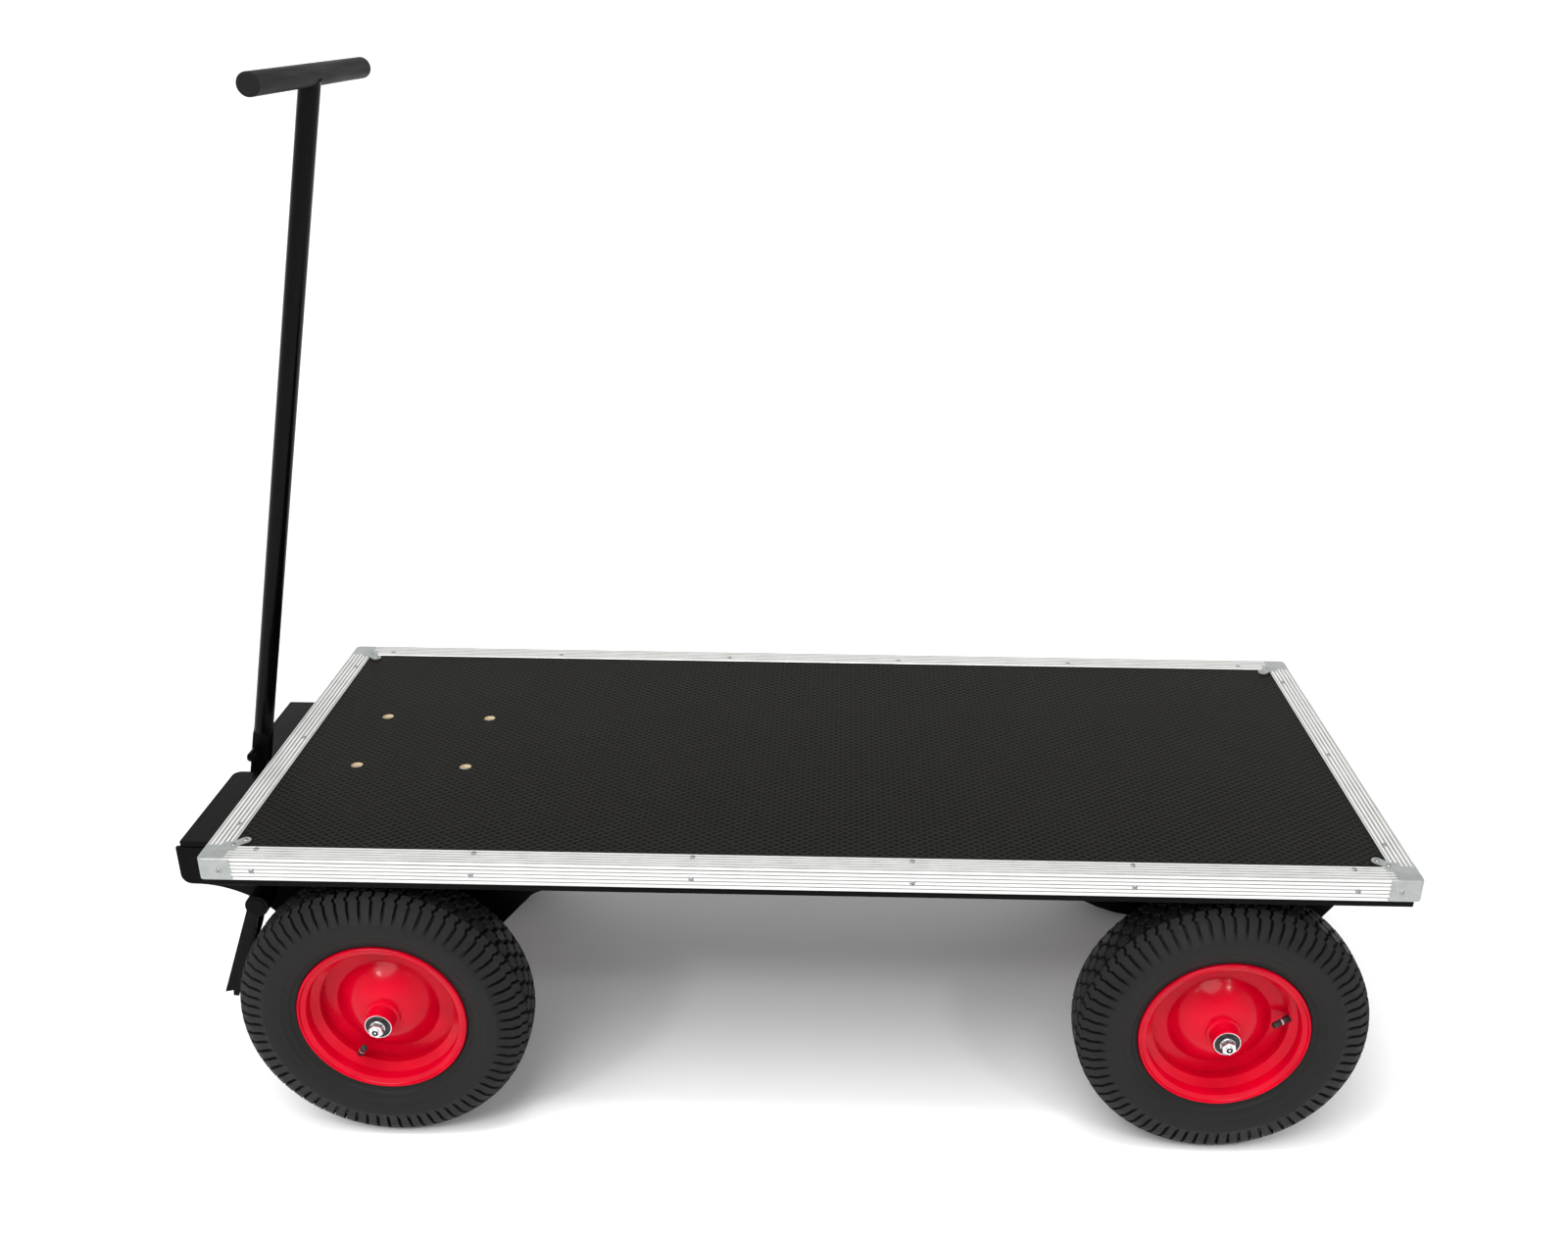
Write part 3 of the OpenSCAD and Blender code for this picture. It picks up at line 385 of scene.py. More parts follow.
def eased(node, name, finish, body, width, segments=3, angle=32):
    """A steel piece with its cut and folded edges rounded as the real ones are."""
    bm = bmesh.new()
    bm.from_mesh(nodes[node].data)
    bmesh.ops.remove_doubles(bm, verts=bm.verts, dist=1e-6)
    bmesh.ops.dissolve_limit(bm, angle_limit=math.radians(0.5), verts=bm.verts, edges=bm.edges)
    piece = piece_from(bm, name, finish)
    ease = piece.modifiers.new("eased edges", "BEVEL")
    ease.width = width
    ease.segments = segments
    ease.limit_method = "ANGLE"
    ease.angle_limit = math.radians(angle)
    ease.harden_normals = True
    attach(piece, body)
    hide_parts(node)
    return piece


for node in ("side_rail_left", "side_rail_right", "end_rails", "cross_rails"):
    eased(node, node + "_tube", black_coat, "deck", 0.0022)

# ---------------------------------------------------------------------------
# Turntable. A plate bolted up through the deck with four cap screws, two
# pressed ball races and the king pin that the front bogie turns on.
race_steel, tree, shader = new_finish("greased race steel", (0.16, 0.15, 0.14), 0.32, metal=0.9)
grease = node_in(tree, "ShaderNodeTexNoise", Scale=60.0, Detail=5.0)
tree.links.new(place_on_object(tree), grease.inputs["Vector"])
tree.links.new(ramp(tree, grease.outputs["Fac"], [(0.35, (0.09, 0.075, 0.055)), (0.65, (0.24, 0.235, 0.23))]),
               shader.inputs["Base Color"])
use_finish(nodes["turntable_plate"], black_coat)
use_finish(nodes["king_pin_collar"], black_coat)
for node in ("upper_race", "lower_race"):
    use_finish(nodes[node], race_steel)
for node in ("turntable_bolts", "king_pin", "turntable_balls", "rear_bogie_bolts", "drawbar_pivot_pin"):
    use_finish(nodes[node], bright_zinc)

# ---------------------------------------------------------------------------
# Rear bogie. Two deep plate cheeks under a top plate that four bolts hold to
# the cross rails. The axle bar runs through both cheeks inside a tube.
eased("rear_bogie_plate", "rear_top_plate", black_coat, "deck", 0.0008)
for side in ("left", "right"):
    eased("rear_cheek_" + side, "rear_cheek_plate_" + side, black_coat, "deck", 0.0009)
for node in ("rear_axle_tube", "front_axle_tube"):
    use_finish(nodes[node], black_coat)
for node in ("rear_axle", "front_axle"):
    use_finish(nodes[node], bright_zinc)

# ---------------------------------------------------------------------------
# Front bogie. A folded top plate, notched for the drawbar, between two cheek
# plates with a rounded nose. It all turns under the deck on the turntable.
eased("front_bogie_plate", "front_top_plate", black_coat, "front_bogie", 0.0016)
for side in ("left", "right"):
    eased("front_cheek_" + side, "front_cheek_plate_" + side, black_coat, "front_bogie", 0.0012)
eased("drawbar_lugs", "drawbar_lug_plates", black_coat, "front_bogie", 0.0008)

# ---------------------------------------------------------------------------
# Tyres. Four-ply pneumatic turf tyres on 8 inch rims: two rows of clover
# blocks beside a middle row on the crown, with long stepped lugs down each
# shoulder, and a plain sidewall with mould rings.
WHEEL_R, TYRE_HALF, BULGE_R = 0.190, 0.0475, 0.148
SIDE_DROP = 0.0523
TREAD_DEEP = 0.0062
FRONT_X, REAR_X, AXLE_Z, HALF_TRACK = -0.5125, 0.5805, 0.190, 0.274
wheels = {"front_left": (FRONT_X, -1, "wheel_front_left"), "front_right": (FRONT_X, 1, "wheel_front_right"),
          "rear_left": (REAR_X, -1, "wheel_rear_left"), "rear_right": (REAR_X, 1, "wheel_rear_right")}


def wheel_place(x, side, turn=0.0):
    """From a wheel's own frame, with -Y outward, to its place on the trolley."""
    facing = Matrix.Rotation(0 if side < 0 else math.pi, 4, "Z")
    return Matrix.Translation((x, side * HALF_TRACK, AXLE_Z)) @ facing @ Matrix.Rotation(turn, 4, "Y")


def crown_line(samples=400):
    """(arc from the middle, across, radius) down one half of the tread's outer surface."""
    line, arc = [], 0.0
    for i in range(samples + 1):
        t = math.radians(90 - 105 * i / samples)
        if t > 0:
            across = TYRE_HALF * math.cos(t) ** (2 / 3)
            radius = BULGE_R + (WHEEL_R - BULGE_R) * math.sin(t) ** (2 / 3)
        else:
            across = TYRE_HALF * math.cos(t)
            radius = BULGE_R + SIDE_DROP * math.sin(t)
        if line:
            arc += math.hypot(across - line[-1][1], radius - line[-1][2])
        line.append((arc, across, radius))
    return line


CROWN = crown_line()


def on_crown(arc, lift):
    """The point (across, radius) at an arc length from the middle, lifted off the surface."""
    want = abs(arc)
    low, high = 0, len(CROWN) - 1
    while high - low > 1:
        middle = (low + high) // 2
        if CROWN[middle][0] > want:
            high = middle
        else:
            low = middle
    span = max(CROWN[high][0] - CROWN[low][0], 1e-9)
    part = min(max((want - CROWN[low][0]) / span, 0), 1)
    across = CROWN[low][1] + part * (CROWN[high][1] - CROWN[low][1])
    radius = CROWN[low][2] + part * (CROWN[high][2] - CROWN[low][2])
    da, dr = CROWN[high][1] - CROWN[low][1], CROWN[high][2] - CROWN[low][2]
    size = max(math.hypot(da, dr), 1e-9)
    across, radius = across - dr / size * lift, radius + da / size * lift
    return math.copysign(across, arc) if arc else across, radius


def tread_block(bm, outline, ease=0.9):
    """A closed block from an outline of (angle in degrees, arc), with its top drawn in a little."""
    middle_a = sum(a for a, s in outline) / len(outline)
    middle_s = sum(s for a, s in outline) / len(outline)
    rings = []
    for lift, scale in ((-TREAD_DEEP - 0.001, 1.08), (-0.0009, 1.0), (0.0, ease)):
        ring = []
        for a, s in outline:
            angle = math.radians(middle_a + (a - middle_a) * scale)
            across, radius = on_crown(middle_s + (s - middle_s) * scale, lift)
            ring.append(bm.verts.new((radius * math.cos(angle), across, radius * math.sin(angle))))
        rings.append(ring)
    count = len(outline)
    for inner, outer in zip(rings, rings[1:]):
        for i in range(count):
            bm.faces.new((inner[i], inner[(i + 1) % count], outer[(i + 1) % count], outer[i]))
    bm.faces.new(rings[-1])
    bm.faces.new(list(reversed(rings[0])))


def ring_of(bm, before, steps):
    """Repeats the geometry added since a count of vertices round the axle."""
    bm.verts.ensure_lookup_table()
    fresh = bm.verts[before:]
    faces = {f for v in fresh for f in v.link_faces}
    edges = {e for v in fresh for e in v.link_edges}
    bmesh.ops.spin(bm, geom=list(fresh) + list(edges) + list(faces), cent=(0, 0, 0), dvec=(0, 0, 0),
                   axis=(0, 1, 0), angle=math.tau * (steps - 1) / steps, steps=steps - 1, use_duplicate=True)


SHOULDER_LUGS, CROWN_BLOCKS = 72, 52
LUG_END = next(arc for arc, across, radius in CROWN if radius < 0.1505)
tyre = bmesh.new()
carcass = []
CARCASS_STEPS = 52
for i in range(CARCASS_STEPS + 1):
    arc = CROWN[-1][0] * (i / CARCASS_STEPS)
    fade = min(max((LUG_END - 0.002 - arc) / 0.012, 0), 1)
    carcass.append(on_crown(arc, -TREAD_DEEP * fade if fade else 0.0002))
# Mould rings on the sidewall, then the bead that sits inside the rim's flange
for t, proud in ((-16, 0.0), (-19, 0.0009), (-22, 0.0), (-30, 0.0), (-31.5, 0.0006), (-33, 0.0), (-38, 0.0),
                 (-40, 0.0012), (-42, 0.0014), (-44.5, 0.0)):
    a = math.radians(t)
    carcass.append(((TYRE_HALF + proud) * math.cos(a), BULGE_R + (SIDE_DROP + proud) * math.sin(a)))
carcass += [(0.0335, 0.111), (0.0335, 0.1055), (0.0318, 0.1022), (0.026, 0.1021), (0.0262, 0.112), (0.036, 0.128),
            (0.039, 0.146), (0.036, 0.168), (0.02, 0.176), (0.0, 0.1775)]
outline = [(r, w) for w, r in carcass] + [(r, -w) for w, r in reversed(carcass[1:-1])]
turned(tyre, outline, 116, axis="Y")
bmesh.ops.recalc_face_normals(tyre, faces=tyre.faces)

CLOVER_R, CLOVER_WAIST, ROW_APART = 0.0088, 0.0068, 0.0152
pitch = 360 / CROWN_BLOCKS
mark = len(tyre.verts)
for row, shift in ((0.0, 0.0), (ROW_APART, 0.5), (-ROW_APART, 0.5)):
    clover = []
    for i in range(18):
        size = CLOVER_R if i % 3 else CLOVER_WAIST
        turn = math.radians(20 * i + 10)
        clover.append((shift * pitch + math.degrees(size * math.cos(turn) / WHEEL_R) * 1.1,
                       row + size * math.sin(turn) * 0.95))
    tread_block(tyre, clover)
ring_of(tyre, mark, CROWN_BLOCKS)

pitch = 360 / SHOULDER_LUGS
mark = len(tyre.verts)
for side in (-1, 1):
    lug = [(-0.38, LUG_END), (-0.40, 0.052), (-0.42, 0.043), (-0.42, 0.0385), (-0.24, 0.0370), (-0.24, 0.0330),
           (-0.42, 0.0312), (-0.42, 0.0262), (-0.22, 0.0238), (0.0, 0.0252), (0.20, 0.0238), (0.44, 0.0262),
           (0.44, 0.0318), (0.62, 0.0336), (0.62, 0.0378), (0.44, 0.0394), (0.44, 0.043), (0.42, 0.052),
           (0.38, LUG_END)]
    shape = [(a * pitch * 0.90, side * arc) for a, arc in lug]
    tread_block(tyre, shape if side > 0 else list(reversed(shape)), ease=0.96)
ring_of(tyre, mark, SHOULDER_LUGS)
bmesh.ops.recalc_face_normals(tyre, faces=tyre.faces)

tyre_rubber, tree, shader = new_finish("tyre rubber", (0.0085, 0.0085, 0.0082), 0.55, specular=0.2)
bloom = node_in(tree, "ShaderNodeTexNoise", Scale=26.0, Detail=8.0, Roughness=0.68)
tree.links.new(place_on_object(tree), bloom.inputs["Vector"])
tree.links.new(ramp(tree, bloom.outputs["Fac"], [(0.3, (0.0046, 0.0046, 0.0044)), (0.78, (0.0100, 0.0098, 0.0094))]),
               shader.inputs["Base Color"])
tree.links.new(ramp(tree, bloom.outputs["Fac"], [(0.3, (0.5,)), (0.75, (0.72,))]), shader.inputs["Roughness"])
grain = node_in(tree, "ShaderNodeTexNoise", Scale=900.0, Detail=2.0)
tree.links.new(place_on_object(tree), grain.inputs["Vector"])
grain_bump = node_in(tree, "ShaderNodeBump", Strength=0.18, Distance=0.0003)
tree.links.new(grain.outputs["Fac"], grain_bump.inputs["Height"])
tree.links.new(grain_bump.outputs["Normal"], shader.inputs["Normal"])

for number, (wheel, (x, side, body)) in enumerate(wheels.items()):
    bm = bmesh.new()
    join_into(bm, tyre, wheel_place(x, side, math.radians(2.3 * number)))
    piece = piece_from(bm, "treaded_tyre_" + wheel, tyre_rubber)
    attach(piece, body)
    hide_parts("tyre_" + wheel)
tyre.free()

# ---------------------------------------------------------------------------
# Rims. Two pressed steel halves welded to a hub tube and powder coated red:
# a rolled lip, the bead seat, a drop well, a flat ring and a dished middle.
rim_red, tree, shader = new_finish("red powder coat", (0.52, 0.0002, 0.012), 0.2, specular=0.1)
shader.inputs["Coat Weight"].default_value = 0.1
shader.inputs["Coat Roughness"].default_value = 0.05
cloud = node_in(tree, "ShaderNodeTexNoise", Scale=18.0, Detail=4.0)
tree.links.new(place_on_object(tree), cloud.inputs["Vector"])
tree.links.new(ramp(tree, cloud.outputs["Fac"], [(0.3, (0.44, 0.0002, 0.0120)), (0.7, (0.58, 0.0004, 0.0170))]),
               shader.inputs["Base Color"])
tree.links.new(ramp(tree, cloud.outputs["Fac"], [(0.3, (0.15,)), (0.7, (0.27,))]), shader.inputs["Roughness"])
orange_peel = node_in(tree, "ShaderNodeTexNoise", Scale=260.0, Detail=2.0)
tree.links.new(place_on_object(tree), orange_peel.inputs["Vector"])
red_bump = node_in(tree, "ShaderNodeBump", Strength=0.06, Distance=0.0005)
tree.links.new(orange_peel.outputs["Fac"], red_bump.inputs["Height"])
tree.links.new(red_bump.outputs["Normal"], shader.inputs["Normal"])

strip = [(0.0910, 0.0), (0.0910, 0.013), (0.1010, 0.0212), (0.1018, 0.0329), (0.1038, 0.0337), (0.1094, 0.0339),
         (0.1108, 0.0352), (0.1110, 0.0376), (0.1102, 0.0392), (0.1088, 0.0400), (0.1076, 0.0398), (0.1072, 0.0384),
         (0.1062, 0.0370), (0.1040, 0.0366), (0.1000, 0.0348), (0.0992, 0.0328), (0.0984, 0.0222), (0.0884, 0.0150),
         (0.0884, 0.0)]
well = strip + [(r, -w) for r, w in reversed(strip[1:-1])]
dish = [(0.0900, 0.0), (0.0900, 0.0030), (0.0700, 0.0030), (0.0672, 0.0034), (0.0650, 0.0052)]
for i in range(1, 12):
    part = i / 11
    dish.append((0.0650 - 0.0420 * part, 0.0052 + 0.0253 * (1 - (1 - part) ** 1.8)))
dish += [(0.0227, 0.0313), (0.0222, 0.0335), (0.0206, 0.0347), (0.0192, 0.0355), (0.0190, 0.0379), (0.0190, 0.0543),
         (0.0184, 0.0550), (0.0178, 0.0550), (0.0175, 0.0546), (0.0175, 0.0430), (0.0140, 0.0430), (0.0140, 0.0)]
disc = dish + [(r, -w) for r, w in reversed(dish[1:-1])]
rim = bmesh.new()
turned(rim, well, 120, axis="Y")
middle = bmesh.new()
turned(middle, disc, 96, axis="Y")
join_into(rim, middle, Matrix.Identity(4))
middle.free()
bmesh.ops.recalc_face_normals(rim, faces=rim.faces)
for wheel, (x, side, body) in wheels.items():
    bm = bmesh.new()
    join_into(bm, rim, wheel_place(x, side))
    piece = piece_from(bm, "pressed_rim_" + wheel, rim_red)
    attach(piece, body)
    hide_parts("rim_" + wheel)
rim.free()

# ---------------------------------------------------------------------------
# Valves. Each inner tube's rubber stem leans out of the drop well towards the
# hub, with a plated band and a ribbed plastic dust cap.
stem_rubber, tree, shader = new_finish("stem rubber", (0.014, 0.012, 0.011), 0.45, specular=0.4)
knurl = node_in(tree, "ShaderNodeTexNoise", Scale=700.0, Detail=2.0)
tree.links.new(place_on_object(tree), knurl.inputs["Vector"])
knurl_bump = node_in(tree, "ShaderNodeBump", Strength=0.3, Distance=0.0003)
tree.links.new(knurl.outputs["Fac"], knurl_bump.inputs["Height"])
tree.links.new(knurl_bump.outputs["Normal"], shader.inputs["Normal"])
VALVE_TURN = {"front": math.radians(-120), "rear": math.radians(7)}
for wheel, (x, side, body) in wheels.items():
    valve = bmesh.new()
    for outline, count in (([(0, 0.004), (0.0052, 0.004), (0.0050, 0.022), (0.0044, 0.028), (0.0042, 0.033),
                             (0.0039, 0.0335), (0, 0.0335)], 16),
                           ([(0, 0.0330), (0.0045, 0.0330), (0.0047, 0.0335), (0.0047, 0.0353), (0.0045, 0.0358),
                             (0, 0.0358)], 18),
                           ([(0, 0.0356), (0.0038, 0.0356), (0.0043, 0.0362), (0.0043, 0.0462), (0.0038, 0.0477),
                             (0.0026, 0.0480), (0, 0.0480)], 12)):
        turned(valve, outline, count, closed=False)
    bmesh.ops.recalc_face_normals(valve, faces=valve.faces)
    lean = Matrix.Translation((0.107, -0.002, 0)) @ Matrix.Rotation(math.radians(-60), 4, "Z") \
        @ Matrix.Rotation(math.radians(90), 4, "X")
    aim = Matrix.Rotation(-VALVE_TURN[wheel.split("_")[0]], 4, "Y")
    bm = bmesh.new()
    join_into(bm, valve, wheel_place(x, side) @ aim @ lean)
    valve.free()
    piece = piece_from(bm, "valve_stem_" + wheel, stem_rubber)
    piece.data.materials.append(bright_zinc)
    for face in piece.data.polygons:
        reach = (wheel_place(x, side) @ aim @ lean).inverted() @ face.center
        if 0.0330 < reach.z < 0.0359:
            face.material_index = 1
    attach(piece, body)
    use_finish(nodes["inner_tube_" + wheel], stem_rubber)
    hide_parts("inner_tube_" + wheel)

# ---------------------------------------------------------------------------
# Wheel bearings and nuts. A sealed ball bearing is pressed into each end of
# the hub; a washer and a hexagon nut on the threaded axle end hold the wheel.
seal_black, tree, shader = new_finish("bearing seal", (0.008, 0.008, 0.008), 0.4, specular=0.4)
lip = node_in(tree, "ShaderNodeTexNoise", Scale=300.0, Detail=2.0)
tree.links.new(place_on_object(tree), lip.inputs["Vector"])
tree.links.new(ramp(tree, lip.outputs["Fac"], [(0.3, (0.3,)), (0.7, (0.5,))]), shader.inputs["Roughness"])
for wheel, (x, side, body) in wheels.items():
    bm = bmesh.new()
    for face in (-1, 1):
        for seal, outline in ((False, [(0.0164, 0.0436), (0.0174, 0.0436), (0.0174, 0.0543), (0.0164, 0.0543)]),
                              (False, [(0.00758, 0.0436), (0.0094, 0.0436), (0.0094, 0.0543), (0.00758, 0.0543)]),
                              (True, [(0.0093, 0.0440), (0.0165, 0.0440), (0.0165, 0.0537), (0.0148, 0.0539),
                                      (0.0136, 0.0535), (0.0110, 0.0535), (0.0100, 0.0539), (0.0093, 0.0537)])):
            ring = bmesh.new()
            turned(ring, [(r, face * w) for r, w in outline], 48, axis="Y")
            bmesh.ops.recalc_face_normals(ring, faces=ring.faces)
            for f in ring.faces:
                f.material_index = 1 if seal else 0
            join_into(bm, ring, wheel_place(x, side))
            ring.free()
    piece = piece_from(bm, "sealed_bearings_" + wheel, bright_zinc)
    piece.data.materials.append(seal_black)
    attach(piece, body)
    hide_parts("bearings_" + wheel)

SEAT = 0.3288
for axle, x, body in (("front", FRONT_X, "front_bogie"), ("rear", REAR_X, "deck")):
    bm = bmesh.new()
    for side in (-1, 1):
        nut = bmesh.new()
        turned(nut, [(0.0051, 0.0), (0.0095, 0.0), (0.0099, 0.0004), (0.0099, 0.0021), (0.0095, 0.0025),
                     (0.0051, 0.0025)], 40)
        bmesh.ops.recalc_face_normals(nut, faces=nut.faces)
        hexagon = bmesh.new()
        bmesh.ops.create_cone(hexagon, cap_ends=True, segments=6, radius1=0.00981, radius2=0.00981, depth=0.008,
                              matrix=Matrix.Translation((0, 0, 0.0065)))
        rims = [e for e in hexagon.edges if abs(e.verts[0].co.z - e.verts[1].co.z) < 1e-6]
        bmesh.ops.bevel(hexagon, geom=rims, offset=0.0009, segments=2, profile=0.5, material=-1, affect="EDGES")
        join_into(nut, hexagon, Matrix.Rotation(math.radians(11), 4, "Z"))
        hexagon.free()
        stud = bmesh.new()
        turned(stud, [(0, 0.0095), (0.0049, 0.0095), (0.0049, 0.0122), (0.0041, 0.0130), (0.0016, 0.0130),
                      (0.0008, 0.0118), (0, 0.0118)], 24, closed=False)
        bmesh.ops.recalc_face_normals(stud, faces=stud.faces)
        join_into(nut, stud, Matrix.Identity(4))
        stud.free()
        join_into(bm, nut, Matrix.Translation((x, side * SEAT, AXLE_Z))
                  @ Matrix.Rotation(math.radians(-90 * side), 4, "X"))
        nut.free()
    piece = piece_from(bm, "nuts_and_washers_" + axle, bright_zinc)
    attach(piece, body)
    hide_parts(axle + "_wheel_nuts")

# ---------------------------------------------------------------------------
# Drawbar. A square forged foot on the pivot pin, a round tube welded over its
# spigot, and a plain tube across the top as the handle, with plug ends.
gloss_coat, tree, shader = new_finish("glossy black coat", (0.0012, 0.0012, 0.0014), 0.2, specular=0.09)
ripple = node_in(tree, "ShaderNodeTexNoise", Scale=1.0, Detail=3.0)
tree.links.new(place_on_object(tree, (160, 160, 6)), ripple.inputs["Vector"])
tree.links.new(ramp(tree, ripple.outputs["Fac"], [(0.3, (0.15,)), (0.7, (0.28,))]), shader.inputs["Roughness"])
eased("drawbar_foot", "drawbar_foot_forging", black_coat, "drawbar", 0.0014)
use_finish(nodes["drawbar_tube"], gloss_coat)
use_finish(nodes["drawbar_cross_pin"], black_coat)

handle_grey, tree, shader = new_finish("dark grey handle steel", (0.004, 0.0039, 0.0036), 0.42, specular=0.03)
streak = node_in(tree, "ShaderNodeTexNoise", Scale=1.0, Detail=5.0, Roughness=0.6)
tree.links.new(place_on_object(tree, (150, 9, 150)), streak.inputs["Vector"])
tree.links.new(ramp(tree, streak.outputs["Fac"], [(0.35, (0.0024, 0.0024, 0.0022)), (0.6, (0.0052, 0.0050, 0.0046)),
                                                  (0.78, (0.0180, 0.0176, 0.0160))]), shader.inputs["Base Color"])
tree.links.new(ramp(tree, streak.outputs["Fac"], [(0.3, (0.34,)), (0.7, (0.52,))]), shader.inputs["Roughness"])
use_finish(nodes["handle_tube"], handle_grey)

plug_black, tree, shader = new_finish("handle plug", (0.010, 0.0096, 0.0092), 0.5, specular=0.1)
mottle = node_in(tree, "ShaderNodeTexNoise", Scale=220.0)
tree.links.new(place_on_object(tree), mottle.inputs["Vector"])
tree.links.new(ramp(tree, mottle.outputs["Fac"],
                    [(0.3, (0.42,)), (0.7, (0.58,))]), shader.inputs["Roughness"])
PIVOT = Vector((-0.7589, 0, 0.372))
LEAN = math.radians(12)
BAR_L, BAR_R = 0.965, 0.0130
bar = Matrix.Translation(PIVOT) @ Matrix.Rotation(LEAN, 4, "Y")
plug = bmesh.new()
turned(plug, [(0, -0.014), (0.0103, -0.014), (0.0103, 0.0), (0.0130, 0.0), (0.0130, 0.0016), (0.0124, 0.0026),
              (0.0112, 0.0030), (0.0085, 0.0030), (0.0080, 0.0026), (0, 0.0026)], 48, closed=False)
bmesh.ops.recalc_face_normals(plug, faces=plug.faces)
bm = bmesh.new()
for side in (-1, 1):
    join_into(bm, plug, bar @ Matrix.Translation((0, side * 0.195, BAR_L))
              @ Matrix.Rotation(math.radians(-90 * side), 4, "X"))
plug.free()
piece = piece_from(bm, "handle_end_plugs", plug_black)
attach(piece, "drawbar")
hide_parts("handle_plugs")

# Weld beads: one fillet round the tube where it meets the handle, and one
# where it meets the foot. Each ripple is one dab of the welder's torch.
BEAD_R, DABS = 0.0135, 40
bm = bmesh.new()
for i in range(DABS):
    turn = math.tau * i / DABS
    across = BEAD_R * math.cos(turn)
    reach = math.sqrt(BAR_R ** 2 - across ** 2) if abs(across) < BAR_R else 0
    dab = bmesh.ops.create_icosphere(bm, subdivisions=1, radius=0.0019)
    bmesh.ops.translate(bm, verts=dab["verts"], vec=(0.0132 * math.cos(turn), 0.0132 * math.sin(turn),
                                                     BAR_L - max(reach, 0.003)))
    dab = bmesh.ops.create_icosphere(bm, subdivisions=1, radius=0.0014)
    bmesh.ops.translate(bm, verts=dab["verts"], vec=(0.0124 * math.cos(turn), 0.0124 * math.sin(turn), 0.0780))
bmesh.ops.transform(bm, matrix=bar, verts=bm.verts)
piece = piece_from(bm, "drawbar_welds", gloss_coat)
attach(piece, "drawbar")

# ---------------------------------------------------------------------------
# Brake. A cross-shaft through both cheeks carries two channel arms that press
# on the front tyres, and a finger that the drawbar's heel pushes down. A
# torsion spring round the shaft brings the arms back.
arm_coat, tree, shader = new_finish("brake arm coat", (0.0035, 0.0035, 0.0038), 0.4, specular=0.06)
worn = node_in(tree, "ShaderNodeTexNoise", Scale=90.0, Detail=6.0, Roughness=0.7)
tree.links.new(place_on_object(tree), worn.inputs["Vector"])
tree.links.new(ramp(tree, worn.outputs["Fac"], [(0.3, (0.0020, 0.0020, 0.0021)), (0.8, (0.0060, 0.0060, 0.0061))]),
               shader.inputs["Base Color"])
for side in ("left", "right"):
    eased("brake_arm_" + side, "brake_arm_channel_" + side, arm_coat, "brake", 0.0007, segments=2)
use_finish(nodes["brake_shaft"], black_coat)
eased("brake_finger", "brake_finger_bar", black_coat, "brake", 0.0008)

SHAFT = Vector((-0.6705, 0, 0.332))
WIRE, COIL_R, TURNS = 0.0015, 0.0145, 8
spring = bmesh.new()
ring = bmesh.ops.create_circle(spring, segments=10, radius=WIRE,
                               matrix=Matrix.Translation((COIL_R, 0.0200, 0)))
bmesh.ops.spin(spring, geom=list(spring.verts) + list(spring.edges), cent=(0, 0, 0),
               dvec=(0, 0.0031 / 32, 0), axis=(0, 1, 0), angle=math.tau * TURNS, steps=32 * TURNS)
bmesh.ops.holes_fill(spring, edges=[e for e in spring.edges if len(e.link_faces) == 1], sides=12)
bmesh.ops.recalc_face_normals(spring, faces=spring.faces)
bmesh.ops.translate(spring, verts=spring.verts, vec=SHAFT)
piece = piece_from(spring, "torsion_spring", bright_zinc)
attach(piece, "front_bogie")
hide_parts("brake_return_spring")

# ---------------------------------------------------------------------------
# Studio. A plain pale floor and soft white light from above and in front.
# The floor is flat near the trolley and curves up far away.
floor_white, tree, shader = new_finish("studio floor", (0.93, 0.93, 0.93), 0.9, specular=0.1)
FLOOR_HALF, FLAT_R = 60, 12
bm = bmesh.new()
bmesh.ops.create_grid(bm, x_segments=24, y_segments=24, size=FLOOR_HALF)
for vert in bm.verts:
    vert.co.z = 0.05 * max(vert.co.xy.length - FLAT_R, 0) ** 1.6
floor = piece_from(bm, "studio_floor", floor_white, smooth=False)

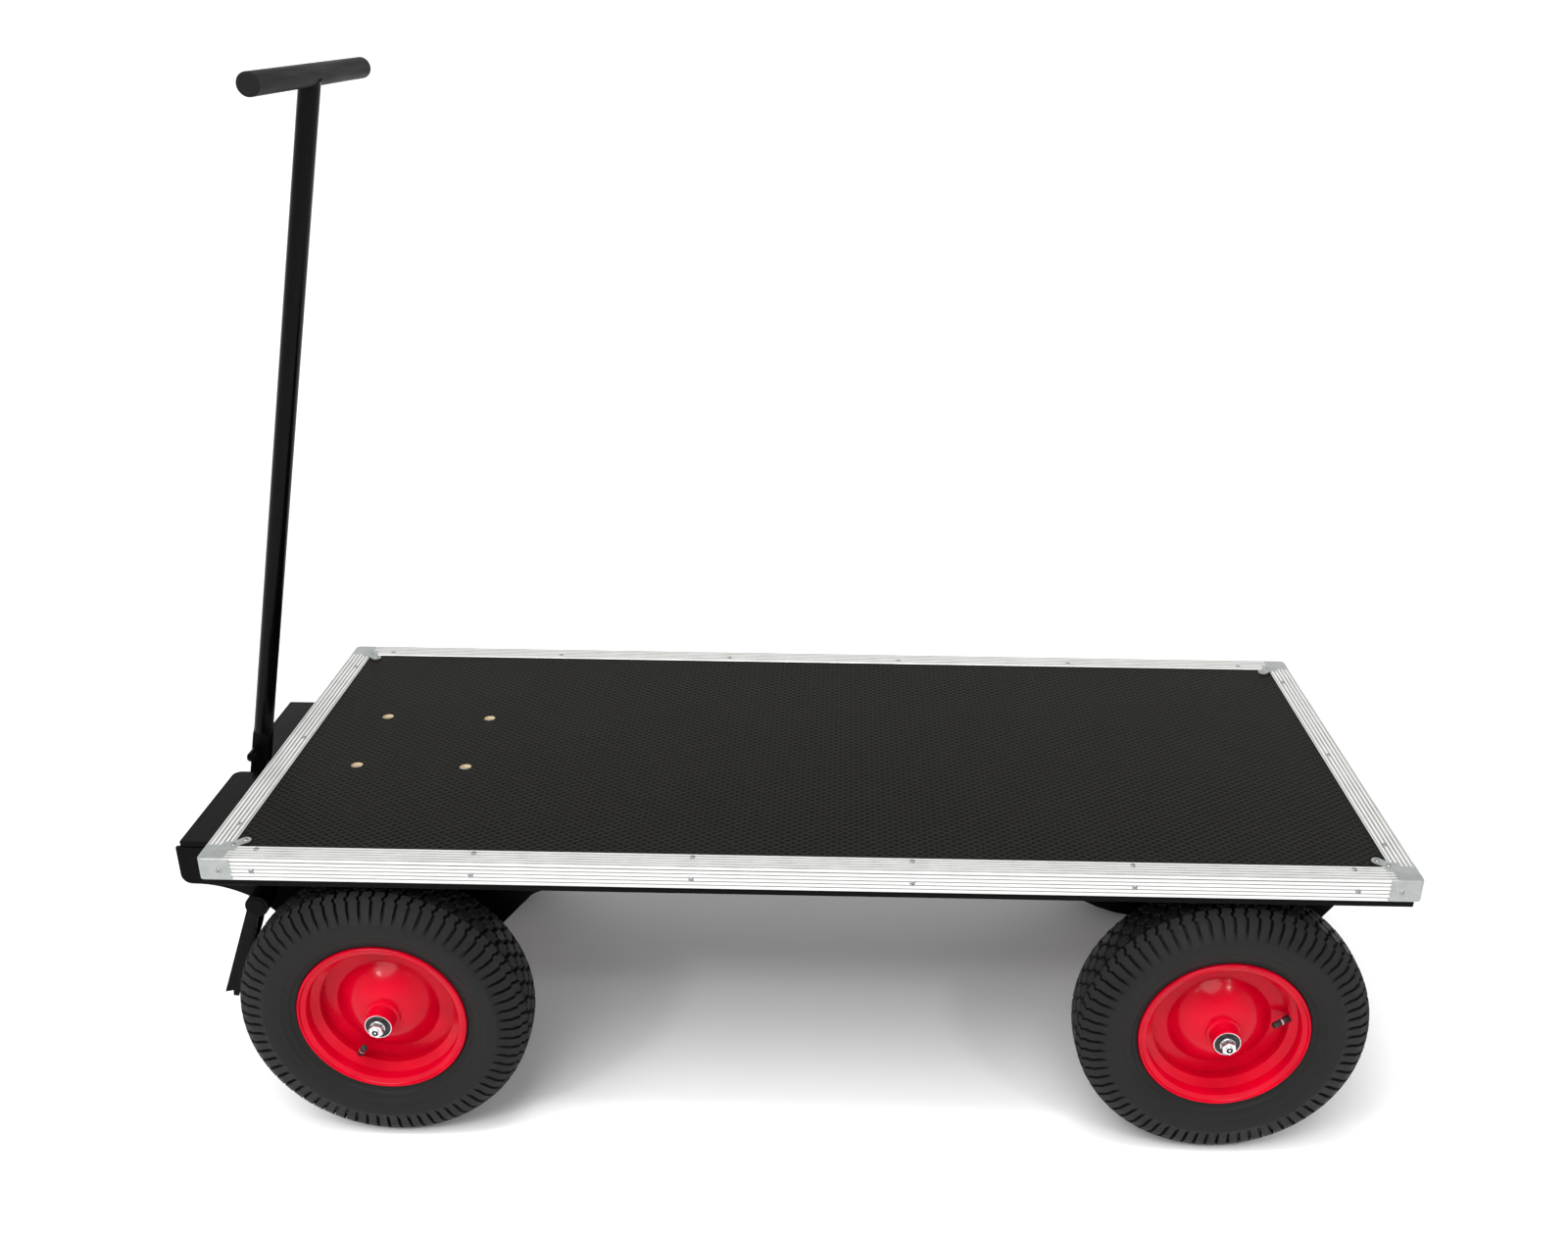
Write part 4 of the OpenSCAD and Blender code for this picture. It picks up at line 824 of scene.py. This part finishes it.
world = bpy.data.worlds.new("soft room")
world.use_nodes = True
world.node_tree.nodes["Background"].inputs["Color"].default_value = (1, 1, 1, 1)
world.node_tree.nodes["Background"].inputs["Strength"].default_value = 0.42
bpy.context.scene.world = world
bpy.context.scene.view_settings.view_transform = "Standard"


def soft_light(name, place, aim, size, power):
    lamp = bpy.data.lights.new(name, "AREA")
    lamp.shape = "RECTANGLE"
    lamp.size, lamp.size_y = size
    lamp.energy = power
    stand = bpy.data.objects.new(name, lamp)
    stand.location = place
    stand.rotation_euler = (Vector(aim) - Vector(place)).to_track_quat("-Z", "Y").to_euler()
    bpy.context.scene.collection.objects.link(stand)


soft_light("softbox over the deck", (0.2, -0.9, 3.4), (0, 0, 0.3), (0.9, 0.22), 22)
soft_light("softbox to the left", (-1.9, -2.6, 2.6), (-0.3, 0, 0.3), (0.45, 0.22), 14)
soft_light("softbox to the right", (1.9, -2.6, 2.9), (0.4, 0, 0.3), (0.45, 0.22), 14)
day = bpy.data.lights.new("broad daylight", "SUN")
day.energy = 2.75
day.angle = math.radians(48)
stand = bpy.data.objects.new("broad daylight", day)
stand.rotation_euler = (-Vector((-0.24, -0.47, 1.0))).to_track_quat("-Z", "Y").to_euler()
bpy.context.scene.collection.objects.link(stand)

# The camera stands a little above the handle's height, to the trolley's left.
YAW, PITCH, ROLL = 0.01618, 0.42955, 0.00976
level = Vector((math.cos(YAW), math.sin(YAW), 0))
ahead = Vector((-math.sin(YAW) * math.cos(PITCH), math.cos(YAW) * math.cos(PITCH), -math.sin(PITCH)))
over = Vector((-math.sin(YAW) * math.sin(PITCH), math.cos(YAW) * math.sin(PITCH), math.cos(PITCH)))
right = level * math.cos(ROLL) + over * math.sin(ROLL)
up = over * math.cos(ROLL) - level * math.sin(ROLL)
lens = bpy.data.cameras.new("camera")
lens.sensor_width = 36
lens.lens = 33.864
lens.shift_x = -0.02271
lens.shift_y = 0.03412
camera = bpy.data.objects.new("camera", lens)
turn = Matrix((right, up, -ahead)).transposed().to_4x4()
camera.matrix_world = Matrix.Translation((0.07822, -1.85733, 1.40718)) @ turn
bpy.context.scene.collection.objects.link(camera)
bpy.context.scene.camera = camera
